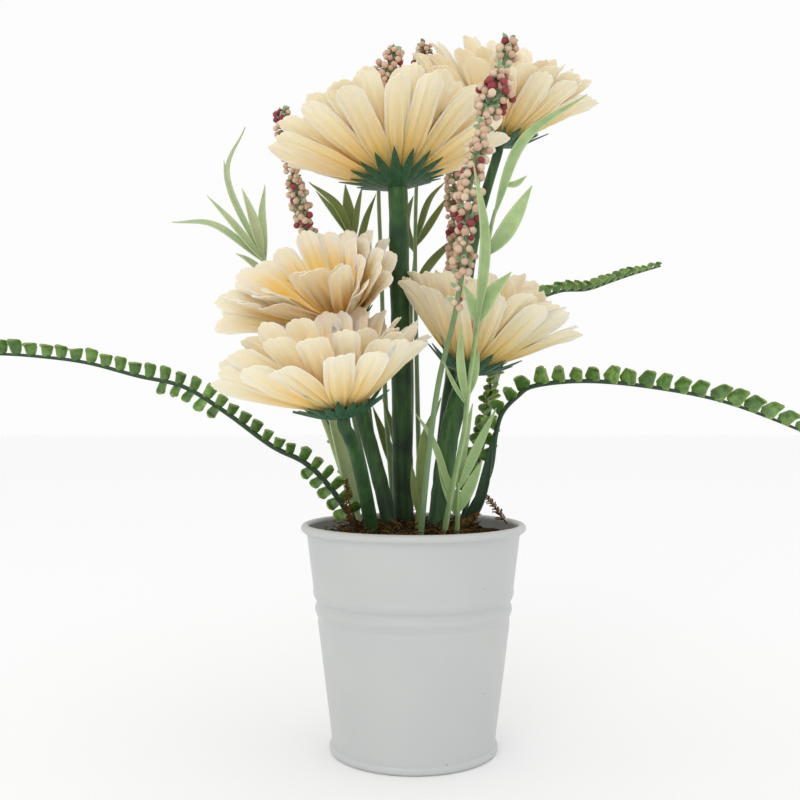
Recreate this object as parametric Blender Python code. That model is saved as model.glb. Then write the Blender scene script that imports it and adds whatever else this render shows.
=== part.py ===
"""A potted daisy arrangement: five cream blooms, berry spikes, leafy sprays and fern fronds.

They stand in a moss-topped foam block in a small white tin pot. Sizes and places are in
millimetres, turned to metres when a mesh is made. +Z is up, and the origin is the middle of the
pot's bottom. The side that is seen first faces -Y.
"""
import math
import random

import bmesh
import bpy
from mathutils import Matrix, Vector
from mathutils.bvhtree import BVHTree

MM = 0.001
CLEAR = 0.3

# Tin pot: a cone of sheet steel with a rolled rim, two rolled rings and a beaded foot.
POT_HEIGHT = 110.0
RIM_RADIUS = 55.0
RIM_BEAD = 2.0
WALL_TOP = 104.0
WALL_TOP_RADIUS = 51.9
FOOT_TOP = 6.4
FOOT_RADIUS = 39.9
SHEET = 0.8
RING_MIDDLE = 70.8
FLOOR_TOP = 2.0
PANEL_RADIUS = 36.0
POT_STEPS = 24

# Planting: a foam block with a bed of dried moss on it, mounded round the stems.
FOAM_TOP = 94.0
MOSS_BOTTOM = FOAM_TOP + CLEAR
MOSS_EDGE = 103.0
MOSS_CROWN = 108.5
STEM_END = 84.0
ROOT_END = 98.0

# Blooms: measured along each bloom's own axis, from the place where the stem meets the cup.
HUB_RADIUS = 9.0
HUB_BOTTOM = 2.0
HUB_EDGE = 3.8
HUB_TOP = 8.8
ROOT_RADIUS = 6.5
CUP_TEETH = 9
HUB_SIDES = 8
CUP_SHEET = 1.0
CUP_SLACK = 4.0
VALLEY_SHARE = 0.58
PETAL_HOLLOW = 0.28
SLANT_SHARE = 1.2
DISH_RADIUS = 12.0
DISH_HEIGHT = 3.0
DISH_FLOOR = 0.6
PETAL_SHEET = 0.9
EYE_RADIUS = 8.2
BERRY_RADIUS = 1.9

WHITE_TIN = ("painted_tin", "D9DCDA", 0.45, 0.0)
FOAM_GREEN = ("dry_foam", "5E6B4A", 0.95, 0.0)
MOSS_BROWN = ("dried_moss", "6B4526", 0.95, 0.0)
PETAL_CREAM = ("petal_cloth", "F5E2C0", 0.8, 0.0)
STEM_GREEN = ("stem_green", "2F5F3C", 0.6, 0.0)
EYE_GOLD = ("eye_pile", "C9962E", 0.9, 0.0)
BERRY_CREAM = ("berry_foam", "DDAE8C", 0.8, 0.0)
LEAF_LIGHT = ("leaf_light", "9DBD78", 0.65, 0.0)
FERN_GREEN = ("fern_green", "3F6E2C", 0.5, 0.0)

# Each bloom: where stem and cup meet, its reach, the angle of its cup, its lean and the way it leans,
# the reach of its cup's teeth, how much steeper the side stands that it is bent up on and which side
# that is, and its first petal's angle.
BLOOMS = {
    "low": dict(at=(-32, -46, 161), reach=62, cup=25, lean=10, toward=178,
                teeth=23, steeper=(7, 80), start=4),
    "left": dict(at=(-34, 2, 205), reach=65, cup=28, lean=30, toward=222,
                 teeth=20, steeper=(6, 100), start=12),
    "right": dict(at=(26.5, 4, 183), reach=64, cup=31, lean=12, toward=350,
                  teeth=25, steeper=(6, 190), start=8),
    "front": dict(at=(-8, 0, 274.5), reach=67, cup=22, lean=7, toward=150,
                  teeth=27, steeper=(14, 270), start=3),
    "back": dict(at=(48, 60, 311), reach=64, cup=30, lean=15, toward=315,
                 teeth=24, steeper=(12, 150), start=15),
}
# The layers of petals, outermost first: how many, how much steeper than the cup, their share of the
# bloom's reach, the height of their root and their width.
LAYERS = ((10, -1, 1.0, 3.7, 18.0), (8, 5, 0.97, 5.3, 18.0), (4, 17, 0.80, 6.9, 16.0))

# Stems of the blooms, each as its radius low down, its radius at the cup and its route.
BLOOM_STEMS = {
    "low": (3.6, 3.0, [(-17.5, -8, STEM_END), (-21, -16, 114), (-26, -30, 141), (-29.5, -41, 153)]),
    "left": (4.2, 3.2, [(-9, 3, STEM_END), (-13, 4, 115), (-26, 8, 165), (-31, 7, 188)]),
    "right": (5.4, 4.6, [(10, -9, STEM_END), (12.3, -7, 112), (16.8, -4, 150), (22, 0, 170)]),
    "front": (5.4, 4.8, [(-5, 18, STEM_END), (-5, 18, 110), (-6, 15, 190), (-7, 6, 240)]),
    "back": (3.4, 2.6, [(7, 22, STEM_END), (13, 25, 119), (18, 35, 168), (27, 46, 214), (35, 56, 264)]),
}

# Spikes: the stem's route, where the berries start as a share of it, and how many there are.
SPIKES = {
    "front": dict(route=[(1, -26, STEM_END), (3, -30, 108), (6.5, -42, 147), (10.5, -55, 178), (17, -64, 206),
                         (21, -67, 232), (23.5, -66, 261), (30, -62, 288), (36.5, -57, 309), (42, -52, 328)],
                  first=0.52, berries=36, girth=2.5),
    "left": dict(route=[(-18, 27, STEM_END), (-21, 30, 115), (-33, 42, 170), (-42, 50, 214), (-49, 46, 240),
                        (-58, 38, 268), (-66, 32, 303), (-69, 32, 323)],
                 first=0.60, berries=18, girth=2.5),
    "middle": dict(route=[(-8, 34, STEM_END), (-10, 38, 114), (-14.5, 54, 170), (-17, 61, 244), (-18.5, 61, 288),
                          (-18, 58, 322), (-13, 52, 350), (-9, 50, 362)],
                   first=0.74, berries=15, girth=2.8),
    "top": dict(route=[(3, 38, STEM_END), (4, 42, 114), (3, 60, 171), (2, 76, 247), (3, 80, 300),
                       (6, 78, 348), (7.5, 76, 374)],
                first=0.82, berries=11, girth=2.4),
    "rear": dict(route=[(9, 34, STEM_END), (11, 40, 114), (18, 54, 171), (22, 64, 225), (24, 64, 258),
                        (23, 62, 284), (24, 62, 304)],
                 first=0.64, berries=13, girth=2.1),
}

# Leafy sprays: a stem with its radius, and lance leaves as (root, middle, tip, width).
SPRAYS = {
    "left": dict(radius=1.5, route=[(-26, 13, ROOT_END), (-28, 14, 113), (-35, 18, 130), (-46, 24, 160),
                                    (-59, 34, 186), (-72, 42, 215), (-79, 38, 247)],
                 leaves=[((-79, 37, 244), (-98, 36, 288), (-89, 38, 316), 3.4),
                         ((-90, 37, 270), (-98, 36, 286), (-100, 36, 298), 2.6),
                         ((-79, 36, 246), (-84, 30, 267), (-89, 28, 281), 5.6),
                         ((-79, 36, 244), (-94, 30, 263), (-107, 28, 277), 4.4),
                         ((-79, 35, 243), (-103, 30, 262), (-125, 26, 263), 4.0),
                         ((-79, 39, 245), (-81, 46, 270), (-80, 50, 288), 4.6),
                         ((-76, 39, 238), (-86, 32, 244), (-92, 28, 247), 3.6),
                         ((-27, 14, 113), (-34.5, 14, 141), (-44, 16, 168), 9.0)]),
    "right": dict(radius=1.5, route=[(13, -24, ROOT_END), (14, -27, 108), (18, -36, 133), (22, -48, 156),
                                     (23, -54, 171), (27, -63, 204), (29.5, -67, 224), (32, -69, 242),
                                     (34, -69, 250)],
                  leaves=[((27, -62, 203), (29, -76, 236), (24, -80, 267), 4.6),
                          ((34, -68, 247), (42, -68, 275), (71, -64, 296), 5.4),
                          ((37, -68, 258), (43, -65, 262), (48, -63, 266), 2.8),
                          ((31, -66, 230), (39, -67, 242), (50, -66, 261), 7.4),
                          ((27, -62, 202), (32, -64, 214), (41, -66, 224), 6.4),
                          ((26, -61, 202), (24, -66, 211), (20, -71, 218), 4.4),
                          ((22.5, -52, 169), (19.5, -61, 186), (19.5, -70, 201), 4.0),
                          ((23, -53, 170), (27, -55, 180), (31, -54, 190), 4.6),
                          ((22, -51, 168), (16, -58, 176), (12, -63, 185), 5.0)]),
    "base": dict(radius=1.4, route=[(19, -20, ROOT_END), (20, -24, 108), (20, -30, 122), (20, -33, 132)],
                 leaves=[((20, -26, 116), (15, -34, 131), (11, -38, 143), 6.0),
                         ((20, -27, 118), (26, -32, 131), (31, -35, 142), 6.4),
                         ((20, -30, 128), (28, -37, 147), (37, -41, 166), 5.6),
                         ((20, -31, 130), (23, -31, 150), (27, -31, 168), 4.2),
                         ((19.5, -27, 120), (9.5, -25, 149), (0.5, -25, 164), 3.6)]),
    "rear_left": dict(radius=1.3, route=[(-13, 36, ROOT_END), (-16, 42, 112), (-24, 62, 170), (-30, 74, 230),
                                         (-33, 76, 265)],
                      leaves=[((-33, 75, 262), (-42, 73, 281), (-58, 70, 294), 5.0),
                              ((-32, 76, 260), (-43, 80, 277), (-55, 84, 292), 4.4),
                              ((-33, 76, 263), (-36, 78, 279), (-38, 80, 295), 7.0),
                              ((-32, 75, 262), (-31, 73, 278), (-28, 71, 292), 3.6),
                              ((-31, 74, 252), (-26, 69, 272), (-20, 65, 286), 4.2)]),
    "rear_middle": dict(radius=1.3, route=[(-2, 44, ROOT_END), (-2, 46, 112), (0, 66, 171), (0, 84, 226),
                                           (3, 92, 268)],
                        leaves=[((2, 91, 262), (12, 90, 276), (22, 88, 291), 4.2),
                                ((3, 92, 266), (10, 94, 288), (20, 94, 300), 4.0),
                                ((0, 86, 232), (11, 84, 250), (28, 80, 267), 5.4),
                                ((2, 90, 256), (-4, 88, 273), (1, 88, 290), 6.2),
                                ((0, 82, 222), (-12, 88, 240), (-20, 92, 262), 5.0),
                                ((-2, 47, 118), (-12, 47, 142), (-22, 48, 168), 6.0),
                                ((-2, 48, 124), (-9, 49, 150), (-16, 51, 172), 5.0)]),
    "middle": dict(radius=1.3, route=[(1, -12, ROOT_END), (1.5, -13.5, 108), (2, -14, 118), (3, -14.5, 128)],
                   leaves=[((2.5, -14, 122), (5, -14.5, 150), (13, -17, 171), 5.4),
                           ((2, -14, 116), (0, -15, 130), (-1, -15, 139), 3.6)]),
}

# Fern fronds: the rib's route, its radius at the root, and the stretch that carries leaflets.
FRONDS = {
    "left": dict(route=[(-28, 1, ROOT_END), (-31, 0, 112), (-42, -4, 129), (-53, -9, 140), (-68, -14, 148),
                        (-89, -20, 164), (-108, -25, 176), (-129, -28, 181), (-152, -30, 187),
                        (-176, -30, 190), (-196, -29, 191), (-216, -27, 190)],
                 first=0.13, pairs=17, leaflet=7.0),
    "right": dict(route=[(24, 9, ROOT_END), (27, 10, 112), (38, 9, 133), (41, 6, 153), (44, 2, 164),
                         (51, -2, 172), (59, -6, 177), (82, -14, 179), (111, -22, 176), (144, -27, 169),
                         (178, -29, 156), (196, -29, 147)],
                  first=0.20, pairs=15, leaflet=7.2),
    "back": dict(route=[(24, 24, ROOT_END), (27, 28, 113), (36, 34, 144), (42, 42, 170), (47, 50, 186),
                        (56, 60, 210), (67, 68, 225), (84, 76, 233), (101, 84, 235), (117, 94, 241),
                        (133, 104, 247), (151, 114, 253)],
                 first=0.16, pairs=13, leaflet=7.0),
    "rear_left": dict(route=[(-26, 24, ROOT_END), (-31, 28, 114), (-37, 36, 132), (-43, 48, 152), (-52, 64, 174),
                             (-64, 82, 194), (-80, 100, 206)],
                      first=0.17, pairs=6, leaflet=7.1),
    "short": dict(route=[(20, 14, ROOT_END), (22, 17, 112), (28, 20, 126), (34, 24, 145), (40, 30, 163),
                         (41, 36, 182)],
                  first=0.24, pairs=6, leaflet=7.0),
}

for old in list(bpy.data.objects):
    bpy.data.objects.remove(old)

crowd = {}


def linear(channel):
    """One sRGB channel from 0 to 1 as linear light."""
    return channel / 12.92 if channel <= 0.04045 else ((channel + 0.055) / 1.055) ** 2.4


def finish(obj, coat):
    """Gives an object its own plain material in the colour of its real surface."""
    title, shade, roughness, metallic = coat
    material = bpy.data.materials.new(f"{title}_{obj.name}")
    material.use_nodes = True
    shader = material.node_tree.nodes["Principled BSDF"]
    channels = [linear(int(shade[place:place + 2], 16) / 255) for place in (0, 2, 4)]
    shader.inputs["Base Color"].default_value = (*channels, 1.0)
    shader.inputs["Roughness"].default_value = roughness
    shader.inputs["Metallic"].default_value = metallic
    obj.data.materials.clear()
    obj.data.materials.append(material)
    obj.data.shade_smooth()
    obj.data.set_sharp_from_angle(angle=math.radians(35))


def new_object(name, shape, collection=None):
    """A mesh object from a shape, which is a list of points in millimetres and a list of faces."""
    points, faces = shape
    mesh = bpy.data.meshes.new(name)
    mesh.from_pydata([Vector(point) * MM for point in points], [], faces)
    mesh.update()
    obj = bpy.data.objects.new(name, mesh)
    (collection or bpy.context.scene.collection).objects.link(obj)
    return obj


def settle(obj):
    """Applies an object's modifiers and keeps the result as its mesh."""
    graph = bpy.context.evaluated_depsgraph_get()
    made = bpy.data.meshes.new_from_object(obj.evaluated_get(graph))
    obj.modifiers.clear()
    obj.data = made
    drop_scraps(made)


def drop_scraps(mesh):
    """Removes slivers that a union leaves loose, and merges points that fall together."""
    work = bmesh.new()
    work.from_mesh(mesh)
    bmesh.ops.dissolve_degenerate(work, edges=work.edges, dist=0.0000005)
    bmesh.ops.triangulate(work, faces=[face for face in work.faces if len(face.verts) > 3])
    waiting = set(work.verts)
    groups = []
    while waiting:
        group = [waiting.pop()]
        for vertex in group:
            linked = [edge.other_vert(vertex) for edge in vertex.link_edges]
            fresh = [other for other in linked if other in waiting]
            waiting.difference_update(fresh)
            group.extend(fresh)
        groups.append(group)
    groups.sort(key=len)
    loose = [vertex for group in groups[:-1] for vertex in group]
    bmesh.ops.delete(work, geom=loose, context="VERTS")
    work.to_mesh(mesh)
    work.free()


def boolean(obj, shapes, operation, solver="EXACT"):
    """Joins shapes to an object, or cuts them from it, in one step."""
    tools = bpy.data.collections.new(f"{obj.name}_tools")
    bpy.context.scene.collection.children.link(tools)
    for number, shape in enumerate(shapes):
        new_object(f"{obj.name}_tool_{number}", shape, tools)
    modifier = obj.modifiers.new("join", "BOOLEAN")
    modifier.operation = operation
    modifier.operand_type = "COLLECTION"
    modifier.collection = tools
    modifier.solver = solver
    settle(obj)
    for tool in list(tools.objects):
        bpy.data.objects.remove(tool)
    bpy.data.collections.remove(tools)


def grown(name, shapes, coat, solver="EXACT"):
    """One body from shapes that root in the first of them."""
    obj = new_object(name, shapes[0])
    boolean(obj, shapes[1:], "UNION", solver)
    finish(obj, coat)
    return obj


def tree(shape):
    """A shape's faces in a form that can be tested against another's."""
    points, faces = shape
    return BVHTree.FromPolygons([Vector(point) for point in points], faces)


def is_clear(shape, own):
    """True where a shape touches nothing that stands already, apart from its own plant."""
    mine = tree(shape)
    return not any(mine.overlap(other) for name, other in crowd.items() if name not in own)


def stand(name, shapes):
    """Adds shapes to what later pieces keep clear of."""
    for number, shape in enumerate(shapes):
        crowd[f"{name}/{number}"] = tree(shape)


def smooth_route(points, count):
    """Evenly spaced points on a smooth curve through the route's own points."""
    knots = [Vector(point) for point in points]
    knots = [2 * knots[0] - knots[1], *knots, 2 * knots[-1] - knots[-2]]
    dense = []
    for a, b, c, d in zip(knots, knots[1:], knots[2:], knots[3:]):
        for step in range(16):
            t = step / 16
            bend = (2 * a - 5 * b + 4 * c - d) * t * t + (3 * b - a - 3 * c + d) * t ** 3
            dense.append(0.5 * (2 * b + (c - a) * t + bend))
    dense.append(knots[-2])
    run = [0.0]
    for one, two in zip(dense, dense[1:]):
        run.append(run[-1] + (two - one).length)
    even = []
    place = 0
    for number in range(count):
        goal = run[-1] * number / (count - 1)
        while place < len(run) - 2 and run[place + 1] < goal:
            place += 1
        share = (goal - run[place]) / (run[place + 1] - run[place])
        even.append(dense[place].lerp(dense[place + 1], min(share, 1.0)))
    return even


def headings(route):
    """The direction of a route at each of its points."""
    ahead = [*route[1:], route[-1]]
    behind = [route[0], *route[:-1]]
    return [(two - one).normalized() for one, two in zip(behind, ahead)]


def rod(route, radii, sides):
    """A round rod along a route, closed at both ends."""
    points = []
    faces = []
    ways = headings(route)
    across = ways[0].orthogonal().normalized()
    for centre, way, radius in zip(route, ways, radii):
        across = (across - way * across.dot(way)).normalized()
        beside = way.cross(across)
        for number in range(sides):
            angle = math.tau * number / sides
            points.append(centre + radius * (across * math.cos(angle) + beside * math.sin(angle)))
    for ring in range(len(route) - 1):
        for number in range(sides):
            near = ring * sides + number
            side = ring * sides + (number + 1) % sides
            faces.append((near, side, side + sides, near + sides))
    faces.append(tuple(reversed(range(sides))))
    faces.append(tuple(range(len(points) - sides, len(points))))
    return points, faces


def taper(start, end, count):
    """Radii that run evenly from one to another."""
    return [start + (end - start) * number / (count - 1) for number in range(count)]


def blade(rows, sheet):
    """A leaf-like solid: rows of (centre, side, normal, half width, rise of the edges).

    Each row is a flat diamond, thick along its middle and thin at its edges. Its faces are split
    alike above and below, so a waved blade never crosses itself.
    """
    points = []
    faces = []
    for centre, side, normal, half, rise in rows:
        points.append(centre - side * half + normal * rise)
        points.append(centre + normal * sheet / 2)
        points.append(centre + side * half + normal * rise)
        points.append(centre - normal * sheet / 2)
    for row in range(len(rows) - 1):
        left, top, right, under = range(row * 4, row * 4 + 4)
        for edge, middle, turned in ((left, top, False), (left, under, True),
                                     (right, top, True), (right, under, False)):
            one = (edge, middle, middle + 4)
            two = (edge, middle + 4, edge + 4)
            faces += [one[::-1], two[::-1]] if turned else [one, two]
    last = len(points) - 4
    faces += [(0, 3, 1), (1, 3, 2)]
    faces += [(last, last + 1, last + 3), (last + 1, last + 2, last + 3)]
    return points, faces


def petal_width(share):
    """Half width of a petal as a share of its widest, from root (0) to tip (1)."""
    widest = 0.74
    if share < widest:
        return 0.16 + 0.84 * math.sin(math.pi / 2 * share / widest) ** 1.25
    return math.sqrt(max(0.0, 1 - ((share - widest) / 0.30) ** 2))


def steeper(plan, spin):
    """How much steeper a bloom's cup and petals stand at an angle round its axis."""
    most, side = plan["steeper"]
    return math.radians(most) * math.cos(spin - math.radians(side))


def slant(plan, spin):
    """How far a petal rolls about its length, so that it follows the bloom where that is bent up."""
    most, side = plan["steeper"]
    return -SLANT_SHARE * math.radians(most) * math.sin(spin - math.radians(side))


def petal(base, spin, lift, curl, reach, width, twist, rows, sheet=PETAL_SHEET, extra=0.0):
    """A petal rooted at a bloom's hub, in the bloom's own frame given by the matrix base."""
    out = Vector((math.cos(spin), math.sin(spin), 0.0))
    side = Vector((-math.sin(spin), math.cos(spin), 0.0))
    upward = Vector((0.0, 0.0, 1.0))
    spot = out * ROOT_RADIUS
    made = []
    steps = 24
    for step in range(steps + 1):
        share = step / steps
        angle = lift + curl * share
        way = out * math.cos(angle) + upward * math.sin(angle)
        normal = way.cross(side) * -1.0
        roll = -twist * share
        across = side * math.cos(roll) + normal * math.sin(roll)
        face = normal * math.cos(roll) - side * math.sin(roll)
        half = width / 2 * petal_width(share) + extra
        made.append((base @ spot, base.to_3x3() @ across, base.to_3x3() @ face, half, -half * PETAL_HOLLOW))
        spot = spot + way * reach / steps
    return blade([made[round(row * steps)] for row in rows], sheet)


def fitted_petal(base, own, plan, chance, spin, lift, length, width):
    """A petal turned, raised or shortened until it stands clear of what is round it."""
    rows = (0, 0.35, 0.75, 1)
    curl = math.radians(chance.uniform(0, 16))
    twist = slant(plan, spin) + math.radians(chance.uniform(-8, 8))
    for shorter in (1.0, 0.92, 0.82, 0.70, 0.58):
        for raised in (0, 5, -3, 10, 16):
            for turned_by in (0, 5, -5, 10, -10):
                turn = spin + math.radians(turned_by)
                rise = lift + math.radians(raised)
                trial = petal(base, turn, rise, curl, length * shorter, width, twist, rows, 1.9, 0.5)
                if is_clear(trial, own):
                    return petal(base, turn, rise, curl, length * shorter, width, twist, rows)
    return None


def bloom_frame(plan):
    """The matrix of a bloom: its axis leans from upright by an angle, toward a heading."""
    lean = math.radians(plan["lean"])
    toward = math.radians(plan["toward"])
    axis = Vector((math.sin(lean) * math.cos(toward), math.sin(lean) * math.sin(toward), math.cos(lean)))
    turn = Vector((0.0, 0.0, 1.0)).rotation_difference(axis).to_matrix().to_4x4()
    return Matrix.Translation(Vector(plan["at"])) @ turn


def turned(profile, sides, base):
    """A solid of revolution whose profile starts and ends on the axis, bottom to top."""
    points = [base @ Vector((0.0, 0.0, profile[0][1]))]
    for radius, height in profile[1:-1]:
        for number in range(sides):
            angle = math.tau * number / sides
            points.append(base @ Vector((radius * math.cos(angle), radius * math.sin(angle), height)))
    points.append(base @ Vector((0.0, 0.0, profile[-1][1])))
    top = len(points) - 1
    faces = []
    for number in range(sides):
        following = (number + 1) % sides
        faces.append((0, 1 + following, 1 + number))
        faces.append((top, top - sides + number, top - sides + following))
        for ring in range(len(profile) - 3):
            first = 1 + ring * sides
            near = first + number
            far = first + following
            faces.append((near, far, far + sides, near + sides))
    return points, faces


def cup(base, stem_radius, plan):
    """The green cup under a bloom, a thin star of pointed teeth that follows the petals."""
    columns = CUP_TEETH * 2
    sections = []
    for column in range(columns):
        angle = math.tau * column / columns
        reach = plan["teeth"] * (1 if column % 2 else VALLEY_SHARE)
        rise = math.tan(math.radians(plan["cup"] - CUP_SLACK) + steeper(plan, angle))
        sections.append((angle, ((stem_radius, 0.0), (DISH_RADIUS, DISH_HEIGHT),
                                 (reach, DISH_HEIGHT + (reach - DISH_RADIUS) * rise))))
    points = [base @ Vector((0.0, 0.0, -1.0))]
    for ring, layer in ((0, 0.0), (1, 0.0), (2, 0.0), (2, CUP_SHEET), (1, CUP_SHEET)):
        for angle, spots in sections:
            radius, height = spots[ring]
            spot = Vector((radius * math.cos(angle), radius * math.sin(angle), height + layer))
            points.append(base @ spot)
    points.append(base @ Vector((0.0, 0.0, DISH_FLOOR + CUP_SHEET)))
    top = len(points) - 1
    faces = []
    for column in range(columns):
        near = 1 + column
        far = 1 + (column + 1) % columns
        faces.append((0, far, near))
        for ring in range(4):
            low = ring * columns
            faces.append((near + low, far + low, far + low + columns))
            faces.append((near + low, far + low + columns, near + low + columns))
        faces.append((top, near + 4 * columns, far + 4 * columns))
    return points, faces


def ball(centre, radius):
    """A berry as a ball with eight faces."""
    work = bmesh.new()
    bmesh.ops.create_uvsphere(work, u_segments=4, v_segments=2, radius=radius)
    points = [vertex.co + centre for vertex in work.verts]
    faces = [tuple(vertex.index for vertex in face.verts) for face in work.faces]
    work.free()
    return points, faces


def lance_rows(root, middle, tip, width, rows, facing, extra=0.0):
    """The rows of a lance leaf along a bow from root to tip."""
    bow = smooth_route([root, middle, tip], 13)
    ways = headings(bow)
    made = []
    for row in rows:
        place = round(row * 12)
        side = ways[place].cross(facing).normalized()
        normal = side.cross(ways[place]).normalized()
        half = width / 2 * max(0.12, math.sin(math.pi * min(1.0, row * 0.86 + 0.14)) ** 0.8) + extra
        made.append((bow[place], side, normal, half, half * 0.22))
    return made


def leaflet(root, way, side, size, extra=0.0):
    """A rounded fern leaflet, a five-cornered lens that roots in the rib."""
    ring = [(0.0, -0.08), (-0.48, 0.32), (-0.38, 0.92), (0.30, 1.0), (0.50, 0.42)]
    normal = way.cross(side).normalized()
    grown_size = size + extra
    points = [root + way * along * grown_size + side * out * grown_size for along, out in ring]
    middle = root + side * grown_size * 0.52
    points.append(middle + normal * 0.45)
    points.append(middle - normal * 0.45)
    count = len(ring)
    faces = []
    for number in range(count):
        following = (number + 1) % count
        faces.append((following, number, count))
        faces.append((number, following, count + 1))
    return points, faces


def make_pot():
    """The pot as one turned sheet: floor, inner wall, rolled rim, outer wall, foot and bottom."""
    slope = (WALL_TOP_RADIUS - FOOT_RADIUS) / (WALL_TOP - FOOT_TOP)
    inner_top = WALL_TOP_RADIUS - SHEET
    inner_floor = FOOT_RADIUS + (FLOOR_TOP - FOOT_TOP) * slope - SHEET
    bead_radius = RIM_RADIUS - RIM_BEAD
    bead_height = POT_HEIGHT - RIM_BEAD
    outline = [(0.0, FLOOR_TOP), (inner_floor, FLOOR_TOP), (inner_top, WALL_TOP)]
    for angle in (175, 125, 80, 35, -10, -60):
        bend = math.radians(angle)
        outline.append((bead_radius + RIM_BEAD * math.cos(bend), bead_height + RIM_BEAD * math.sin(bend)))
    outline.append((WALL_TOP_RADIUS, WALL_TOP))
    for offset, proud in ((8.6, 0.0), (5.6, 0.55), (1.6, -0.75), (-2.2, 0.35), (-6.2, -0.4), (-9.0, 0.0)):
        height = RING_MIDDLE + offset
        outline.append((FOOT_RADIUS + (height - FOOT_TOP) * slope + proud, height))
    outline += [(FOOT_RADIUS, FOOT_TOP), (FOOT_RADIUS + 1.1, 3.2), (FOOT_RADIUS + 0.6, 0.5)]
    outline += [(FOOT_RADIUS - 0.4, 0.0), (FOOT_RADIUS - 1.6, 0.0), (PANEL_RADIUS + 1.4, 0.8)]
    outline += [(PANEL_RADIUS, 0.0), (0.0, 0.0)]
    mesh = bpy.data.meshes.new("pot")
    points = [Vector((radius, 0.0, height)) * MM for radius, height in outline]
    mesh.from_pydata(points, [(number, number + 1) for number in range(len(points) - 1)], [])
    pot = bpy.data.objects.new("pot", mesh)
    bpy.context.scene.collection.objects.link(pot)
    screw = pot.modifiers.new("turn", "SCREW")
    screw.axis = "Z"
    screw.angle = math.tau
    screw.steps = POT_STEPS
    screw.render_steps = POT_STEPS
    screw.use_merge_vertices = True
    screw.merge_threshold = 0.00001
    screw.use_normal_calculate = False
    settle(pot)
    finish(pot, WHITE_TIN)


def inner_radius(height):
    """Radius of the space inside the pot, less a fitting gap."""
    slope = (WALL_TOP_RADIUS - FOOT_RADIUS) / (WALL_TOP - FOOT_TOP)
    return FOOT_RADIUS + (height - FOOT_TOP) * slope - SHEET - 0.45


def make_bed(holes):
    """The foam block and the mounded moss on it, with a plain hole round every stem."""
    upright = Matrix.Identity(4)
    bottom = FLOOR_TOP + CLEAR
    foam_profile = [(0.0, bottom), (inner_radius(bottom) - 1.0, bottom)]
    foam_profile += [(inner_radius(bottom + 6), bottom + 6), (inner_radius(FOAM_TOP), FOAM_TOP), (0.0, FOAM_TOP)]
    foam = new_object("foam_block", turned(foam_profile, 18, upright))
    boolean(foam, holes, "DIFFERENCE")
    finish(foam, FOAM_GREEN)
    rise = MOSS_CROWN - MOSS_EDGE
    profile = [(0.0, MOSS_BOTTOM), (inner_radius(MOSS_BOTTOM), MOSS_BOTTOM)]
    profile += [(inner_radius(MOSS_EDGE), MOSS_EDGE), (40.0, MOSS_EDGE + rise * 0.45)]
    profile += [(22.0, MOSS_CROWN - 0.5), (0.0, MOSS_CROWN)]
    points, faces = turned(profile, 16, upright)
    chance = random.Random(7)
    lumpy = []
    for point in points:
        lump = chance.uniform(-1.2, 1.2) if point.z > MOSS_EDGE + 0.5 else 0.0
        lumpy.append(point + Vector((0.0, 0.0, lump)))
    triangles = []
    for face in faces:
        triangles += [face] if len(face) == 3 else [face[:3], (face[0], face[2], face[3])]
    moss = new_object("moss_bed", (lumpy, triangles))
    boolean(moss, holes, "DIFFERENCE")
    finish(moss, MOSS_BROWN)


def stem_shape(route, low, high, sides, count):
    """A stem and the hole that it stands in."""
    line = smooth_route(route, count)
    stem = rod(line, taper(low, high, count), sides)
    sunk = [point for point in line if point.z < MOSS_CROWN + 4]
    start = line[0] - (line[1] - line[0]).normalized() * CLEAR
    hole_line = [start, *sunk[1:], line[len(sunk)]]
    hole_sides = max(4, sides - 1)
    grow = (low + CLEAR) / math.cos(math.pi / hole_sides)
    hole = rod(hole_line, [grow] * len(hole_line), hole_sides)
    return line, stem, hole


def make_blooms():
    """Petals in three layers on a hub, and a golden eye, for each bloom."""
    for name, plan in BLOOMS.items():
        base = bloom_frame(plan)
        chance = random.Random(name)
        own = {key for key in crowd if key.startswith(f"bloom_{name}_cup")}
        hub = turned([(0, HUB_BOTTOM), (HUB_RADIUS - 0.5, HUB_EDGE), (HUB_RADIUS - 1, HUB_TOP), (0, HUB_TOP)],
                     HUB_SIDES, base)
        shapes = [hub]
        reach = plan["reach"] - ROOT_RADIUS
        for layer, (count, more_lift, share, height, width) in enumerate(LAYERS):
            seat = base @ Matrix.Translation((0.0, 0.0, height))
            first = math.radians(plan["start"]) + math.pi / count * (layer > 0)
            for number in range(count):
                spin = first + math.tau * number / count + math.radians(chance.uniform(-2, 2))
                lift = math.radians(plan["cup"] + more_lift + chance.uniform(-2.5, 2.5)) + steeper(plan, spin)
                length = reach * share * chance.uniform(0.96, 1.0)
                made = fitted_petal(seat, own, plan, chance, spin, lift, length, width)
                if made:
                    shapes.append(made)
        stand(f"bloom_{name}", shapes)
        grown(f"bloom_{name}_petals", shapes, PETAL_CREAM)
        eye = turned([(0, HUB_TOP + CLEAR), (5.2, HUB_TOP + CLEAR), (EYE_RADIUS - 1.8, HUB_TOP + 1.9),
                      (EYE_RADIUS - 2.4, HUB_TOP + 3.8), (0, HUB_TOP + 4.8)], HUB_SIDES, base)
        finish(new_object(f"bloom_{name}_eye", eye), EYE_GOLD)


def spike_core(plan, line):
    """The slim core of a spike: its own stretch of the stem's line, its radii and its shape."""
    core_line = line[round(plan["first"] * (len(line) - 1)):]
    ends = len(core_line) - 1
    radii = [plan["girth"] * (0.55 + 0.45 * math.sin(math.pi * (0.15 + 0.8 * number / ends)))
             for number in range(len(core_line))]
    return core_line, radii, rod(core_line, radii, 5)


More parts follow.
